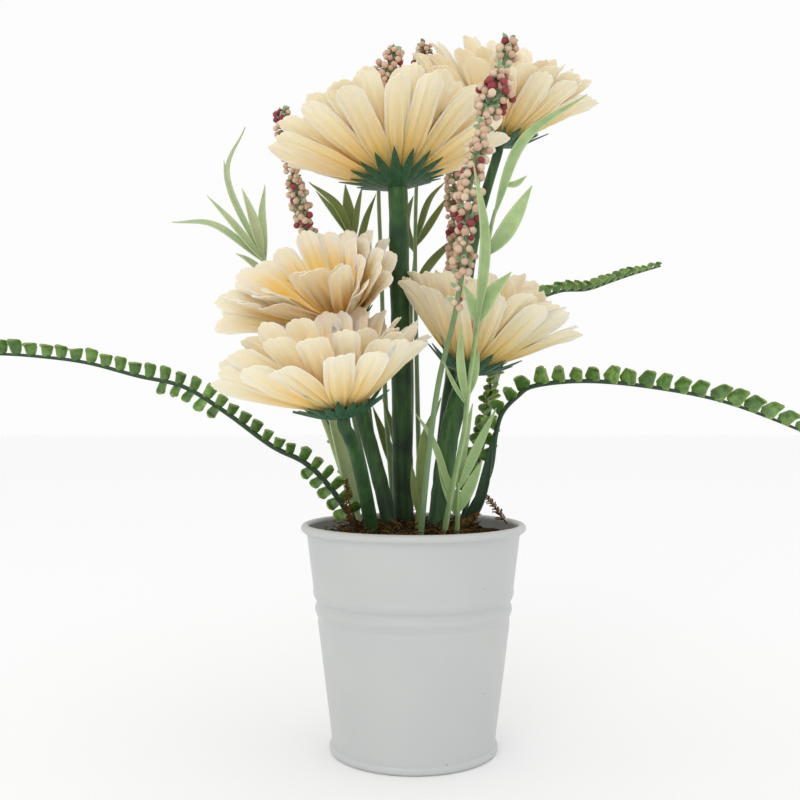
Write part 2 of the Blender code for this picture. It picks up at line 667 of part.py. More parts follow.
def make_spike(name, plan, line, stem):
    """A spike: its stem, a slim core and round berries set on it in a spiral."""
    core_line, core_radii, core = spike_core(plan, line)
    shapes = [core, stem]
    ways = headings(core_line)
    own = {f"spike_{name}/0", f"spike_{name}/1"}
    total = plan["berries"]
    for number in range(total):
        share = (number + 0.5) / total * (len(core_line) - 1)
        place = min(int(share), len(core_line) - 2)
        centre = core_line[place].lerp(core_line[place + 1], share - place)
        radius = core_radii[place] + (core_radii[place + 1] - core_radii[place]) * (share - place)
        way = ways[place]
        across = way.orthogonal().normalized()
        angle = number * 2.39996
        out = across * math.cos(angle) + way.cross(across) * math.sin(angle)
        berry = ball(centre + out * (radius + BERRY_RADIUS * 0.5), BERRY_RADIUS)
        if is_clear(ball(centre + out * (radius + BERRY_RADIUS * 0.5), BERRY_RADIUS + 0.5), own):
            shapes.append(berry)
    tip = ball(core_line[-1], BERRY_RADIUS * 1.3)
    shapes.append(tip)
    stand(f"spike_{name}", shapes)
    grown(f"spike_{name}", shapes, BERRY_CREAM)


def nearest(points, goal):
    """The point of a list that lies nearest to a goal."""
    return min(points, key=lambda point: (point - Vector(goal)).length)


def make_spray(name, plan, line, stem):
    """A leafy spray: lance leaves that bow out of one stem."""
    shapes = [stem]
    chance = random.Random(name)
    seats = [one.lerp(two, step / 20) for one, two in zip(line, line[1:]) for step in range(21)]
    for place, middle, tip, width in plan["leaves"]:
        root = nearest(seats, place) + Vector([chance.uniform(-0.15, 0.15) for _ in range(3)])
        for shift in (0, 4, -4, 8, -8, 12, -12, 18, -18, 24):
            bent = Vector(middle) + Vector((0.0, -shift * 0.5, 0.0))
            end = Vector(tip) + Vector((0.0, -shift, 0.0))
            facing = Vector((0.15, -1.0, 0.35)).normalized()
            rows = (0, 0.34, 0.67, 1) if (end - root).length > 34 else (0, 0.45, 1)
            trial = blade(lance_rows(root, bent, end, width, rows, facing, 0.4), 1.8)
            if is_clear(trial, {f"spray_{name}/0"}):
                shapes.append(blade(lance_rows(root, bent, end, width, rows, facing), 0.9))
                seats += smooth_route([root, bent, end], 30)[6:20]
                break
    stand(f"spray_{name}", shapes)
    grown(f"spray_{name}", shapes, LEAF_LIGHT, "MANIFOLD")


def make_frond(name, plan, line, stem):
    """A fern frond: a dark rib with pairs of leaflets that stand up from it."""
    shapes = [stem]
    ways = headings(line)
    count = plan["pairs"]
    for number in range(count):
        share = plan["first"] + (0.985 - plan["first"]) * number / (count - 1)
        spot = share * (len(line) - 1)
        place = min(int(spot), len(line) - 2)
        root = line[place].lerp(line[place + 1], spot - place)
        way = ways[place].lerp(ways[place + 1], spot - place).normalized()
        side = way.cross(Vector((0.0, 0.0, 1.0))).normalized()
        up = side.cross(way).normalized()
        size = plan["leaflet"] * min(1.0, 0.45 + 2.4 * (1 - share), 0.7 + 3 * (share - plan["first"]))
        for hand in (-1, 1):
            for angle in (52, 35, 70, 15, -10, 85, -40):
                tilt = math.radians(angle)
                out = side * hand * math.cos(tilt) + up * math.sin(tilt)
                if is_clear(leaflet(root, way, out, size, 0.6), {f"frond_{name}/0"}):
                    shapes.append(leaflet(root + way * 0.3 * hand, way * hand, out, size))
                    break
    stand(f"frond_{name}", shapes)
    grown(f"frond_{name}", shapes, FERN_GREEN)


make_pot()

stems = {}
holes = []
for name, (low, high, route) in BLOOM_STEMS.items():
    plan = BLOOMS[name]
    base = bloom_frame(plan)
    ended = [*route, base @ Vector((0.0, 0.0, -4.0)), base @ Vector((0.0, 0.0, 0.6))]
    line, stem, hole = stem_shape(ended, low, high, 8 if low > 5 else 6, 7)
    green_cup = cup(base, high, plan)
    holes.append(hole)
    stand(f"bloom_{name}_cup", [stem, green_cup])
    grown(f"bloom_{name}_stem", [stem, green_cup], STEM_GREEN)
for group, plans, radii, sides in (("spike", SPIKES, (1.6, 1.1), 5), ("spray", SPRAYS, None, 4),
                                   ("frond", FRONDS, (1.3, 0.5), 4)):
    for name, plan in plans.items():
        low, high = radii or (plan["radius"], 0.9)
        count = len(plan["route"]) + {"spike": 2, "spray": 0, "frond": 2}[group]
        line, stem, hole = stem_shape(plan["route"], low, high, sides, count)
        stems[group, name] = (line, stem)
        holes.append(hole)
        stand(f"{group}_{name}", [stem, spike_core(plan, line)[2]] if group == "spike" else [stem])
make_bed(holes)
make_spike("front", SPIKES["front"], *stems["spike", "front"])
make_blooms()
for name, plan in SPRAYS.items():
    make_spray(name, plan, *stems["spray", name])
for name, plan in SPIKES.items():
    if name != "front":
        make_spike(name, plan, *stems["spike", name])
for name, plan in FRONDS.items():
    make_frond(name, plan, *stems["frond", name])
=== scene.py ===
"""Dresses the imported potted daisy: an artificial arrangement of five cream blooms in a tin pot.

Sizes are in millimetres, in the frame's own axes: +Z is up, the origin is the middle of the pot's
bottom, and the side seen first faces -Y. Meshes are turned to metres when a piece is made.
"""
import math
import random

import bpy
import numpy as np
from mathutils import Matrix, Vector
from mathutils.bvhtree import BVHTree


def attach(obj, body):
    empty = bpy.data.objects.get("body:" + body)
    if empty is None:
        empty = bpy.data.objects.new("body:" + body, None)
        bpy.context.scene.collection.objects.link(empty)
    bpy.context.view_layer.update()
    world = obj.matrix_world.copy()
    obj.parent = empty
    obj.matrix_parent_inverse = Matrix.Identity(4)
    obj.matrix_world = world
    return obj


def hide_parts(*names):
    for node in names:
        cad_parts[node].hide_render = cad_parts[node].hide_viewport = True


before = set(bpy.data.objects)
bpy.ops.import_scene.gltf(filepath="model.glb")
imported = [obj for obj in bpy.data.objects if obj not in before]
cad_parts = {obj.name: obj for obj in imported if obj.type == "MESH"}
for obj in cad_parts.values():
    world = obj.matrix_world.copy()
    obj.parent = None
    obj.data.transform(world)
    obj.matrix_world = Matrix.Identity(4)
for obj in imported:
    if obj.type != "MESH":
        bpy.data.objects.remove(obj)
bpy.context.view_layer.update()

# The setting: a seamless white paper floor under a bright even sky, with one big soft lamp beside the
# camera, which stands half a metre in front of the pot, level with the lowest cup, tilted up a touch.
MM = 0.001
CAMERA_AT = (-6.64, -500.0, 162.3)
CAMERA_TILT = 0.9
LENS = 45.72
SENSOR = 36.0
FLOOR_SIDE = 8000.0
FLOOR_DROP = 0.1
SKY = 0.98
LAMP_AT = Vector((-350, -1300, 750))
LAMP_AIM = Vector((0, 0, 180))
LAMP_SIZE = 900
LAMP_POWER = 3.4
WHITE = (1.0, 1.0, 1.0, 1.0)


def linear(channel):
    """One sRGB channel from 0 to 1 as linear light."""
    return channel / 12.92 if channel <= 0.04045 else ((channel + 0.055) / 1.055) ** 2.4


def shade(code):
    """A colour from its six-figure sRGB hex value."""
    return (*(linear(int(code[place:place + 2], 16) / 255) for place in (0, 2, 4)), 1.0)


def per_mm(size):
    """The texture scale at which a pattern repeats once in a size in millimetres."""
    return 1 / (size * MM)


def surface(name, **settings):
    """A new material and its node tree, with values set on the shader's own sockets."""
    coat = bpy.data.materials.new(name)
    coat.use_nodes = True
    for socket, value in settings.items():
        coat.node_tree.nodes["Principled BSDF"].inputs[socket.replace("_", " ")].default_value = value
    return coat, coat.node_tree


def node(tree, kind, *values, out=None, **named):
    """Adds a node and gives its first live output, or the one named out.

    The values fill its live sockets in order: each is another node's output, a plain value or a
    colour's hex code. After them, a name with a capital is a socket, any other a setting of the node.
    """
    made = tree.nodes.new("ShaderNode" + kind)
    for key, value in named.items():
        if key.islower():
            setattr(made, key, value)
    filled = list(zip([socket for socket in made.inputs if socket.enabled], values))
    filled += [(made.inputs[key], value) for key, value in named.items() if not key.islower()]
    for socket, value in filled:
        if isinstance(value, bpy.types.NodeSocket):
            tree.links.new(value, socket)
        else:
            socket.default_value = shade(value) if isinstance(value, str) else value
    return made.outputs[out] if out else next(socket for socket in made.outputs if socket.enabled)


def feed(tree, **outputs):
    """Links the outputs that drive a material to its shader's sockets."""
    for socket, output in outputs.items():
        tree.links.new(output, tree.nodes["Principled BSDF"].inputs[socket.replace("_", " ")])


def placed(name, data):
    """A new object in the scene."""
    made = bpy.data.objects.new(name, data)
    bpy.context.scene.collection.objects.link(made)
    return made


camera = placed("camera", bpy.data.cameras.new("camera"))
camera.location = Vector(CAMERA_AT) * MM
camera.rotation_euler = (math.radians(90 + CAMERA_TILT), 0.0, 0.0)
camera.data.lens = LENS
camera.data.sensor_width = SENSOR
bpy.context.scene.camera = camera
bpy.context.scene.view_settings.view_transform = "Standard"

bpy.context.scene.world = bpy.data.worlds.new("studio")
bpy.context.scene.world.use_nodes = True
sky = bpy.context.scene.world.node_tree.nodes["Background"]
sky.inputs["Color"].default_value = WHITE
sky.inputs["Strength"].default_value = SKY
lamp = placed("key", bpy.data.lights.new("key", "AREA"))
lamp.data.size = LAMP_SIZE * MM
lamp.data.energy = LAMP_POWER
lamp.location = LAMP_AT * MM
lamp.rotation_euler = (LAMP_AIM - LAMP_AT).to_track_quat("-Z", "Y").to_euler()

# Matt white paper: bright and even, with a faint fibre in its surface.
paper, tree = surface("matt white paper", Roughness=0.9, Base_Color=shade("FBFBFB"))
fibre = node(tree, "TexNoise", Vector=node(tree, "TexCoord", out="Object"), Scale=per_mm(3))
feed(tree, Normal=node(tree, "Bump", Height=fibre, Strength=0.05, Distance=0.1 * MM))
floor_mesh = bpy.data.meshes.new("floor")
floor_mesh.from_pydata([Vector((x * FLOOR_SIDE, y * FLOOR_SIDE, -FLOOR_DROP)) * MM for x, y in
                        ((-1, -1), (1, -1), (1, 1), (-1, 1))], [], [(0, 1, 2, 3)])
floor_mesh.materials.append(paper)
floor = placed("floor", floor_mesh)

# The pot: a cone of thin tinplate, pressed with two rings round its middle, rolled over a wire at
# the rim and beaded at the foot, then sprayed with white enamel inside and out.
POT_HEIGHT = 110.0
RIM_RADIUS = 55.0
RIM_BEAD = 2.0
WALL_TOP = 104.0
WALL_TOP_RADIUS = 51.9
FOOT_TOP = 6.4
FOOT_RADIUS = 39.9
FOOT_BEAD = (1.7, 2.1)
SHEET = 0.8
FLOOR_TOP = 2.0
PANEL_RADIUS = 36.0
RING_MIDDLE = 70.8
RINGS = ((5.8, 0.45, 1.7), (1.6, -0.95, 1.3), (-2.2, 0.5, 1.7), (-6.2, -0.45, 1.3))
POT_SIDES = 160
DENT = 0.10
ENAMEL = "BFC1C0"
# A darker tone of the same enamel, laid in soft patches at random.
ENAMEL_DARKER = "B9BCBB"
SPECK = "87857F"
PEEL_SIZE = 1.3
SPECK_SPACING = 9.0
MARKS = ("along", "across", "side", "tone")


def joined(shapes):
    """Several shapes as one: points, faces, and four marks at each point, in the order of MARKS."""
    faces = []
    start = 0
    for points, own_faces, _ in shapes:
        faces += [tuple(number + start for number in face) for face in own_faces]
        start += len(points)
    points, marks = (np.concatenate([shape[place] for shape in shapes]) for place in (0, 2))
    return points, faces, marks


def piece(name, shapes, coat, slot, *nodes, sharp=55):
    """A piece of the object: its mesh, its material, its slot (not used), and the nodes that it stands
    for.
    """
    points, faces, marks = joined(shapes)
    mesh = bpy.data.meshes.new(name)
    mesh.from_pydata((points * MM).tolist(), [], faces)
    for column, title in enumerate(MARKS):
        mark = mesh.attributes.new(title, "FLOAT", "POINT")
        mark.data.foreach_set("value", np.ascontiguousarray(marks[:, column], dtype=np.float32))
    mesh.shade_smooth()
    mesh.set_sharp_from_angle(angle=math.radians(sharp))
    mesh.materials.append(coat)
    made = placed(name, mesh)
    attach(made, "root")
    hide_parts(*nodes)


def wall_radius(height):
    """Outer radius of the plain cone at a height."""
    return FOOT_RADIUS + (height - FOOT_TOP) * (WALL_TOP_RADIUS - FOOT_RADIUS) / (WALL_TOP - FOOT_TOP)


def oval_bend(centre, across, upward, begin, end, count):
    """Points round a bend of a section, an arc of an oval between two angles in degrees."""
    return [(centre[0] + across * math.cos(angle), centre[1] + upward * math.sin(angle))
            for angle in np.radians(np.linspace(begin, end, count))]


def pot_outline():
    """The pot's section, from its bottom's middle up over the rim and down to its floor's middle."""
    outline = [(0.0, 0.0), (PANEL_RADIUS, 0.0), (PANEL_RADIUS + 1.2, 0.8)]
    outline += oval_bend((FOOT_RADIUS - 0.6, FOOT_BEAD[1]), *FOOT_BEAD, -150, 70, 14)
    for height in [*np.linspace(FOOT_TOP, RING_MIDDLE - 12, 10),
                   *np.linspace(RING_MIDDLE - 10, RING_MIDDLE + 9, 36),
                   *np.linspace(RING_MIDDLE + 10, WALL_TOP - 1, 6), WALL_TOP + 0.6]:
        proud = sum(rise * math.exp(-((height - RING_MIDDLE - middle) / width) ** 2)
                    for middle, rise, width in RINGS)
        outline.append((wall_radius(height) + proud, height))
    outline += oval_bend((RIM_RADIUS - RIM_BEAD, POT_HEIGHT - RIM_BEAD), RIM_BEAD, RIM_BEAD, -70, 190, 22)
    outline += [(wall_radius(height) - SHEET, height)
                for height in np.linspace(WALL_TOP, FLOOR_TOP + 2, 12)]
    return [*outline, (wall_radius(FLOOR_TOP) - SHEET - 2.0, FLOOR_TOP), (0.0, FLOOR_TOP)]


def ring_faces(rings, sides):
    """Faces of a closed shape whose points are a bottom point, rings from below, and a top point."""
    last = 1 + rings * sides
    faces = []
    for number in range(sides):
        following = (number + 1) % sides
        faces.append((0, 1 + following, 1 + number))
        faces.append((last, last - sides + number, last - sides + following))
        for ring in range(rings - 1):
            near, far = 1 + ring * sides + number, 1 + ring * sides + following
            faces.append((near, far, far + sides, near + sides))
    return faces


def turned(outline, sides, dent=0.0):
    """A shape of revolution about the upright axis, slightly out of round by a dent."""
    turns = np.linspace(0, math.tau, sides, endpoint=False)
    points = [(0.0, 0.0, outline[0][1])]
    for radius, height in outline[1:-1]:
        swell = dent * (np.sin(3 * turns + 0.05 * height) + 0.6 * np.sin(5 * turns - 0.09 * height))
        grown = radius + swell * min(1.0, height / 20)
        points += list(zip(grown * np.cos(turns), grown * np.sin(turns), [height] * sides))
    points.append((0.0, 0.0, outline[-1][1]))
    return np.array(points, dtype=float), ring_faces(len(outline) - 2, sides), np.zeros((len(points), 4))


# White enamel on tin: even and cool, half matt, with the faint orange peel of a sprayed coat, a few
# specks of dust caught in it, and a soft unevenness of tone from handling.
enamel, tree = surface("white enamel on tin", IOR=1.5, Roughness=0.42, Coat_Weight=0.15,
                       Coat_Roughness=0.3)
place = node(tree, "TexCoord", out="Object")
cloud = node(tree, "TexNoise", Vector=place, Scale=per_mm(35), Detail=3.0)
cells = node(tree, "TexVoronoi", Vector=place, Scale=per_mm(SPECK_SPACING))
spot = node(tree, "Math", cells, 0.035, operation="LESS_THAN")
rare = node(tree, "Math", cells.node.outputs["Color"], 0.62, operation="GREATER_THAN")
speck = node(tree, "Math", spot, rare, operation="MULTIPLY")
tone = node(tree, "MapRange", cloud, 0.35, 0.7, 0.0, 0.55)
skin = node(tree, "Mix", tone, ENAMEL, ENAMEL_DARKER, data_type="RGBA")
dusty = node(tree, "Mix", speck, skin, SPECK, data_type="RGBA")
peel = node(tree, "TexNoise", Vector=place, Scale=per_mm(PEEL_SIZE), Detail=2.0)
gloss = node(tree, "MapRange", cloud, 0.3, 0.7, 0.38, 0.5)
bump = node(tree, "Bump", Height=peel, Strength=0.35, Distance=0.05 * MM)
feed(tree, Base_Color=dusty, Roughness=gloss, Normal=bump)
piece("pot_enamelled", [turned(pot_outline(), POT_SIDES, DENT)], enamel, "tin", "pot", sharp=45)

# The foam block: dry flower foam cut to the pot, which grips the wired ends of the stems. Its fine
# open cells make it dead matt and are painted darker in their hollows as shade, and cut stems leave
# crumbs of it.
CELL_SIZE = 0.7
foam, tree = surface("dry flower foam", Roughness=0.98, Specular_IOR_Level=0.15)
place = node(tree, "TexCoord", out="Object")
cells = node(tree, "TexVoronoi", Vector=place, Scale=per_mm(CELL_SIZE))
dust = node(tree, "TexNoise", Vector=place, Scale=per_mm(6), Detail=6.0)
# Painted shade: each open cell darker toward its hollow.
cell_hollow_shade = node(tree, "Mix", cells, "363F28", "64714E", data_type="RGBA")
crumb = node(tree, "MapRange", dust, 0.45, 0.75, 0.0, 0.6)
tint = node(tree, "Mix", crumb, cell_hollow_shade, "757D5A", data_type="RGBA")
bump = node(tree, "Bump", Height=cells, Strength=0.8, Distance=0.3 * MM)
feed(tree, Base_Color=tint, Normal=bump)
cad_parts["foam_block"].data.materials.clear()
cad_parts["foam_block"].data.materials.append(foam)

# The moss: a bed of dried moss pressed on the foam and mounded round the stems, matted from curled
# brown fibres that stand up most among the stems, with three dried fern sprigs caught in it.
MOSS_BOTTOM = 94.3
MOSS_EDGE = 102.0
MOSS_CROWN = 107.6
MOSS_RADIUS = 50.3
MOSS_RINGS = 34
MOSS_SIDES = 110
FIBRES = 2200
SPRIGS = {"right": [(47, 8, 108.5), (44, 9, 112), (40.5, 9, 117), (37, 8, 121), (33.5, 8, 125.5)],
          "left": [(-29, -6, 108), (-31, -9, 114), (-32.5, -10, 121), (-31.5, -10, 126), (-33, -10, 131)],
          "middle": [(17, -16, 107), (21, -14, 110), (26, -12, 112), (31, -11, 115)]}
UP = Vector((0.0, 0.0, 1.0))


def smooth_route(points, count):
    """Evenly spaced points on a smooth curve through the route's own points."""
    knots = [Vector(point) for point in points]
    knots = [2 * knots[0] - knots[1], *knots, 2 * knots[-1] - knots[-2]]
    dense = []
    for a, b, c, d in zip(knots, knots[1:], knots[2:], knots[3:]):
        for step in range(16):
            t = step / 16
            bend = (2 * a - 5 * b + 4 * c - d) * t * t + (3 * b - a - 3 * c + d) * t ** 3
            dense.append(0.5 * (2 * b + (c - a) * t + bend))
    dense.append(knots[-2])
    run = [0.0]
    for one, two in zip(dense, dense[1:]):
        run.append(run[-1] + (two - one).length)
    goals = np.linspace(0, run[-1], count)
    axes = [np.interp(goals, run, [point[axis] for point in dense]) for axis in range(3)]
    return [Vector(spot) for spot in zip(*axes)]


def headings(route):
    """The direction of a route at each of its points."""
    ahead = [*route[1:], route[-1]]
    behind = [route[0], *route[:-1]]
    return [(two - one).normalized() for one, two in zip(behind, ahead)]


def rod(route, radii, sides, tone=0.0):
    """A round rod along a route, closed at both ends, marked along its length and round its girth."""
    points = []
    faces = []
    marks = []
    ways = headings(route)
    across = ways[0].orthogonal().normalized()
    for station, (centre, way, radius) in enumerate(zip(route, ways, map(float, radii))):
        across = (across - way * across.dot(way)).normalized()
        beside = way.cross(across)
        for number in range(sides):
            angle = math.tau * number / sides
            points.append(centre + radius * (across * math.cos(angle) + beside * math.sin(angle)))
            marks.append((station / (len(route) - 1), math.sin(angle), 0.5, tone))
    for ring in range(len(route) - 1):
        for number in range(sides):
            near = ring * sides + number
            side = ring * sides + (number + 1) % sides
            faces.append((near, side, side + sides, near + sides))
    faces.append(tuple(reversed(range(sides))))
    faces.append(tuple(range(len(points) - sides, len(points))))
    return np.array(points), faces, np.array(marks)


def moss_height(radius, angle):
    """Height of the moss: higher in the middle, and lumpy."""
    rise = 1 - (radius / MOSS_RADIUS) ** 2.4
    lumps = math.sin(radius * 0.31 + 2 * angle) + math.sin(radius * 0.23 - 5 * angle + 1)
    lumps += math.sin(9 * angle)
    return MOSS_EDGE + (MOSS_CROWN - MOSS_EDGE) * rise + 0.55 * lumps


def moss_mound(chance):
    """The matted bed as a closed turned shape with a rough top."""
    points = [(0.0, 0.0, MOSS_BOTTOM)]
    reaches = [MOSS_RADIUS - 4.5, *np.linspace(MOSS_RADIUS - 3.4, 0, MOSS_RINGS)[:-1]]
    for ring, radius in enumerate(reaches):
        for number in range(MOSS_SIDES):
            angle = math.tau * number / MOSS_SIDES
            height = MOSS_BOTTOM if ring == 0 else moss_height(radius, angle) + chance.uniform(-0.8, 0.8)
            points.append((radius * math.cos(angle), radius * math.sin(angle), height))
    points.append((0.0, 0.0, MOSS_CROWN))
    marks = np.tile((0.0, 0.0, 0.0, 0.25), (len(points), 1))
    return np.array(points, dtype=float), ring_faces(len(reaches), MOSS_SIDES), marks


def fibre_shape(chance):
    """One curled fibre of moss that lies on the bed or lifts from it, kept inside the pot."""
    radius = (MOSS_RADIUS - 2) * math.sqrt(chance.random())
    angle = chance.uniform(0, math.tau)
    spot = Vector((radius * math.cos(angle), radius * math.sin(angle), moss_height(radius, angle) - 0.6))
    heading = chance.uniform(0, math.tau)
    pitch = chance.uniform(-0.1, 1.35 if radius < 34 else 0.75)
    turn = chance.uniform(-0.55, 0.55)
    sag = chance.uniform(0.12, 0.4)
    stride = chance.uniform(0.9, 2.2)
    route = [spot]
    for _ in range(6):
        heading += turn
        pitch -= sag
        flat_way = Vector((math.cos(heading), math.sin(heading), 0.0)) * math.cos(pitch)
        spot = spot + (flat_way + UP * math.sin(pitch)) * stride
        flat = math.hypot(spot.x, spot.y)
        if flat > MOSS_RADIUS - 0.8:
            spot = Vector((*(spot.xy * (MOSS_RADIUS - 0.8) / flat), spot.z))
        ground = moss_height(min(flat, MOSS_RADIUS), math.atan2(spot.y, spot.x))
        spot.z = max(spot.z, ground - 0.4)
        route.append(spot)
    thick = chance.uniform(0.22, 0.55)
    return rod(route, [*[thick] * 4, thick * 0.9, thick * 0.7, 0.08], 4, chance.random())


def sprig(route, chance):
    """A dried fern sprig: a thin stalk with short curled teeth on both sides."""
    line = smooth_route(route, 26)
    shapes = [rod(line, np.linspace(0.5, 0.22, 26), 5, 0.7)]
    ways = headings(line)
    for number in range(3, 26):
        for hand in (-1, 1):
            side = ways[number].cross(Vector((0.2, -1.0, 0.3))).normalized() * hand
            reach = chance.uniform(1.6, 3.4) * (1.15 - number / 40)
            lift = UP * chance.uniform(-0.5, 0.9)
            tip = line[number] + (side + ways[number] * 0.7 + lift).normalized() * reach
            curl = tip + Vector((chance.uniform(-0.6, 0.6), chance.uniform(-0.6, 0.6), -0.5))
            tooth = [line[number], (line[number] + tip) / 2, tip, curl]
            shapes.append(rod(tooth, [0.3, 0.42, 0.3, 0.1], 4, chance.uniform(0.5, 1.0)))
    return shapes


def point_marks(tree):
    """Where a point of a piece lies, and the four marks that it carries, to build patterns on."""
    marks = [node(tree, "Attribute", attribute_name=title, out="Fac") for title in MARKS]
    return node(tree, "TexCoord", out="Object"), *marks


# Dried moss: dull brown fibres with ochre patches of painted highlight where the light would catch
# them and near-black painted shade in the gaps among them, and a fine fuzz that a coarse noise
# stands for here, since the real hairs are too thin to show.
moss, tree = surface("dried moss", Roughness=0.95, Specular_IOR_Level=0.2)
place, _, _, _, mark = point_marks(tree)
fuzz = node(tree, "TexNoise", Vector=place, Scale=per_mm(1.1), Detail=6.0, Roughness=0.7)
drift = node(tree, "TexNoise", Vector=place, Scale=per_mm(9), Detail=3.0)
dark = node(tree, "Mix", mark, "1E1009", "86602F", data_type="RGBA")
# Painted highlight: ochre patches where the light would catch the fibres.
ochre = node(tree, "MapRange", drift, 0.5, 0.72, 0.0, 0.75)
warm = node(tree, "Mix", ochre, dark, "755F2D", data_type="RGBA")
# Painted shade: near black in the hollows of the fuzz, between the fibres.
gap_shade = node(tree, "MapRange", fuzz, 0.35, 0.6, 0.0, 1.0)
matted = node(tree, "Mix", gap_shade, "120B05", warm, data_type="RGBA")
bump = node(tree, "Bump", Height=fuzz, Strength=0.9, Distance=0.5 * MM)
feed(tree, Base_Color=matted, Normal=bump)

chance = random.Random("moss")
piece("moss_mound", [moss_mound(chance)], moss, "moss", "moss_bed")
piece("moss_fibres", [fibre_shape(chance) for _ in range(FIBRES)], moss, "moss")
piece("moss_sprigs", [shape for route in SPRIGS.values() for shape in sprig(route, chance)], moss, "moss")

# The bloom stems: steel wire in a sleeve of green polyethylene, each ending in a cup, a moulded star
# of teeth that holds the petals. Some blooms were bent up on one side, so the rise (degrees) and reach
# (mm) of their petals are given at eight headings, and how far (degrees) side petals are brushed.
STEM_END = 84.0
BLOOMS = {
    "low": dict(at=(-32, -46, 161), lean=10, toward=178, teeth=23, start=4, brushed=30,
                rises=(31, 50, 53, 40, 25, 29, 27, 25), reaches=(56, 60, 60, 62, 61, 63, 58, 49)),
    "left": dict(at=(-34, 2, 205), lean=30, toward=222, teeth=20, start=12, brushed=-20,
                 rises=(46, 31, 37, 34, 28, 24, 21, 24), reaches=(48, 55, 62, 61, 65, 66, 60, 46)),
    "right": dict(at=(26.5, 4, 183), lean=12, toward=350, teeth=25, start=8, brushed=16,
                  rises=(35, 45, 50, 44, 42, 38, 36, 33), reaches=(60, 70, 68, 62, 60, 60, 62, 62)),
    "front": dict(at=(-8, 0, 274.5), lean=7, toward=150, teeth=27, start=3, brushed=8,
                  rises=(17, 20, 22, 21, 20, 28, 34, 32), reaches=(62, 66, 66, 66, 66, 66, 66, 65)),
    "back": dict(at=(48, 60, 311), lean=15, toward=315, teeth=24, start=15, brushed=14,
                 rises=(37, 44, 49, 50, 36, 32, 35, 36), reaches=(61, 66, 68, 69, 70, 66, 62, 61)),
}
BLOOM_STEMS = {
    "low": (3.6, 3.0, [(-17.5, -8, STEM_END), (-21, -16, 114), (-26, -30, 141), (-29.5, -41, 153)]),
    "left": (4.2, 3.2, [(-9, 3, STEM_END), (-13, 4, 115), (-26, 8, 165), (-31, 7, 188)]),
    "right": (5.4, 4.6, [(10, -9, STEM_END), (12.3, -7, 112), (16.8, -4, 150), (22, 0, 170)]),
    "front": (5.4, 4.8, [(-5, 18, STEM_END), (-5, 18, 110), (-6, 15, 190), (-7, 6, 240)]),
    "back": (3.4, 2.6, [(7, 22, STEM_END), (13, 25, 119), (18, 35, 168), (27, 46, 214), (35, 56, 264)]),
}
CUP_TEETH = 18
CUP_SHEET = 0.9
CUP_DISH = (12.0, 3.0)
STEM_SIDES = 24
STEM_STATIONS = 60


def bloom_frame(plan):
    """The matrix of a bloom: its axis leans from upright by an angle, toward a heading."""
    lean = math.radians(plan["lean"])
    toward = math.radians(plan["toward"])
    axis = Vector((math.sin(lean) * math.cos(toward), math.sin(lean) * math.sin(toward), math.cos(lean)))
    turn = UP.rotation_difference(axis).to_matrix().to_4x4()
    return Matrix.Translation(Vector(plan["at"])) @ turn


def at_heading(values, spin):
    """A value at any heading round a bloom, from its values at eight headings."""
    turns = np.arange(-2, 11) * math.tau / 8
    return np.interp(np.asarray(spin) % math.tau, turns, [values[number % 8] for number in range(-2, 11)])


def rise_at(plan, spin):
    """The angle at which a bloom's cup and outer petals rise at a heading."""
    return np.radians(at_heading(plan["rises"], spin))


def moved(spots, base):
    """An array of points carried by a matrix."""
    turn = np.array(base)
    return spots @ turn[:3, :3].T + turn[:3, 3]


def seated(shape, base):
    """A shape carried by a matrix."""
    return moved(shape[0], base), *shape[1:]


def sheet(spots, thickness, tone=0.5):
    """A thin closed sheet round a grid of points, marked by side: 0 is under, 1 above."""
    rows, columns = spots.shape[:2]
    normal = np.cross(np.gradient(spots, axis=1), np.gradient(spots, axis=0))
    normal /= np.linalg.norm(normal, axis=2, keepdims=True) + 1e-9
    half = normal * np.broadcast_to(np.asarray(thickness, dtype=float), (rows, columns))[..., None] / 2
    points = np.concatenate([(spots + half).reshape(-1, 3), (spots - half).reshape(-1, 3)])
    count = rows * columns
    faces = []
    for row in range(rows - 1):
        for column in range(columns - 1):
            near = row * columns + column
            far = near + columns
            faces.append((near, near + 1, far + 1, far))
            faces.append((near + count, far + count, far + 1 + count, near + 1 + count))
    rim = list(range(columns))
    rim += [row * columns + columns - 1 for row in range(1, rows)]
    rim += [count - 1 - column for column in range(1, columns)]
    rim += [row * columns for row in range(rows - 2, 0, -1)]
    for one, two in zip(rim, rim[1:] + rim[:1]):
        faces.append((one, one + count, two + count, two))
    along, across = np.meshgrid(np.linspace(0, 1, rows), np.linspace(-1, 1, columns), indexing="ij")
    flat = np.stack([along.ravel(), across.ravel()], axis=1)
    marks = np.concatenate([np.c_[flat, np.ones(count)], np.c_[flat, np.zeros(count)]])
    return points, faces, np.c_[marks, np.full(2 * count, tone)]


def bent_stem(name):
    """The smooth line of a bloom's stem, from the foam to the inside of its cup."""
    base = bloom_frame(BLOOMS[name])
    return smooth_route([*BLOOM_STEMS[name][2], base @ (UP * -4.0), base @ (UP * 1.2)], STEM_STATIONS)


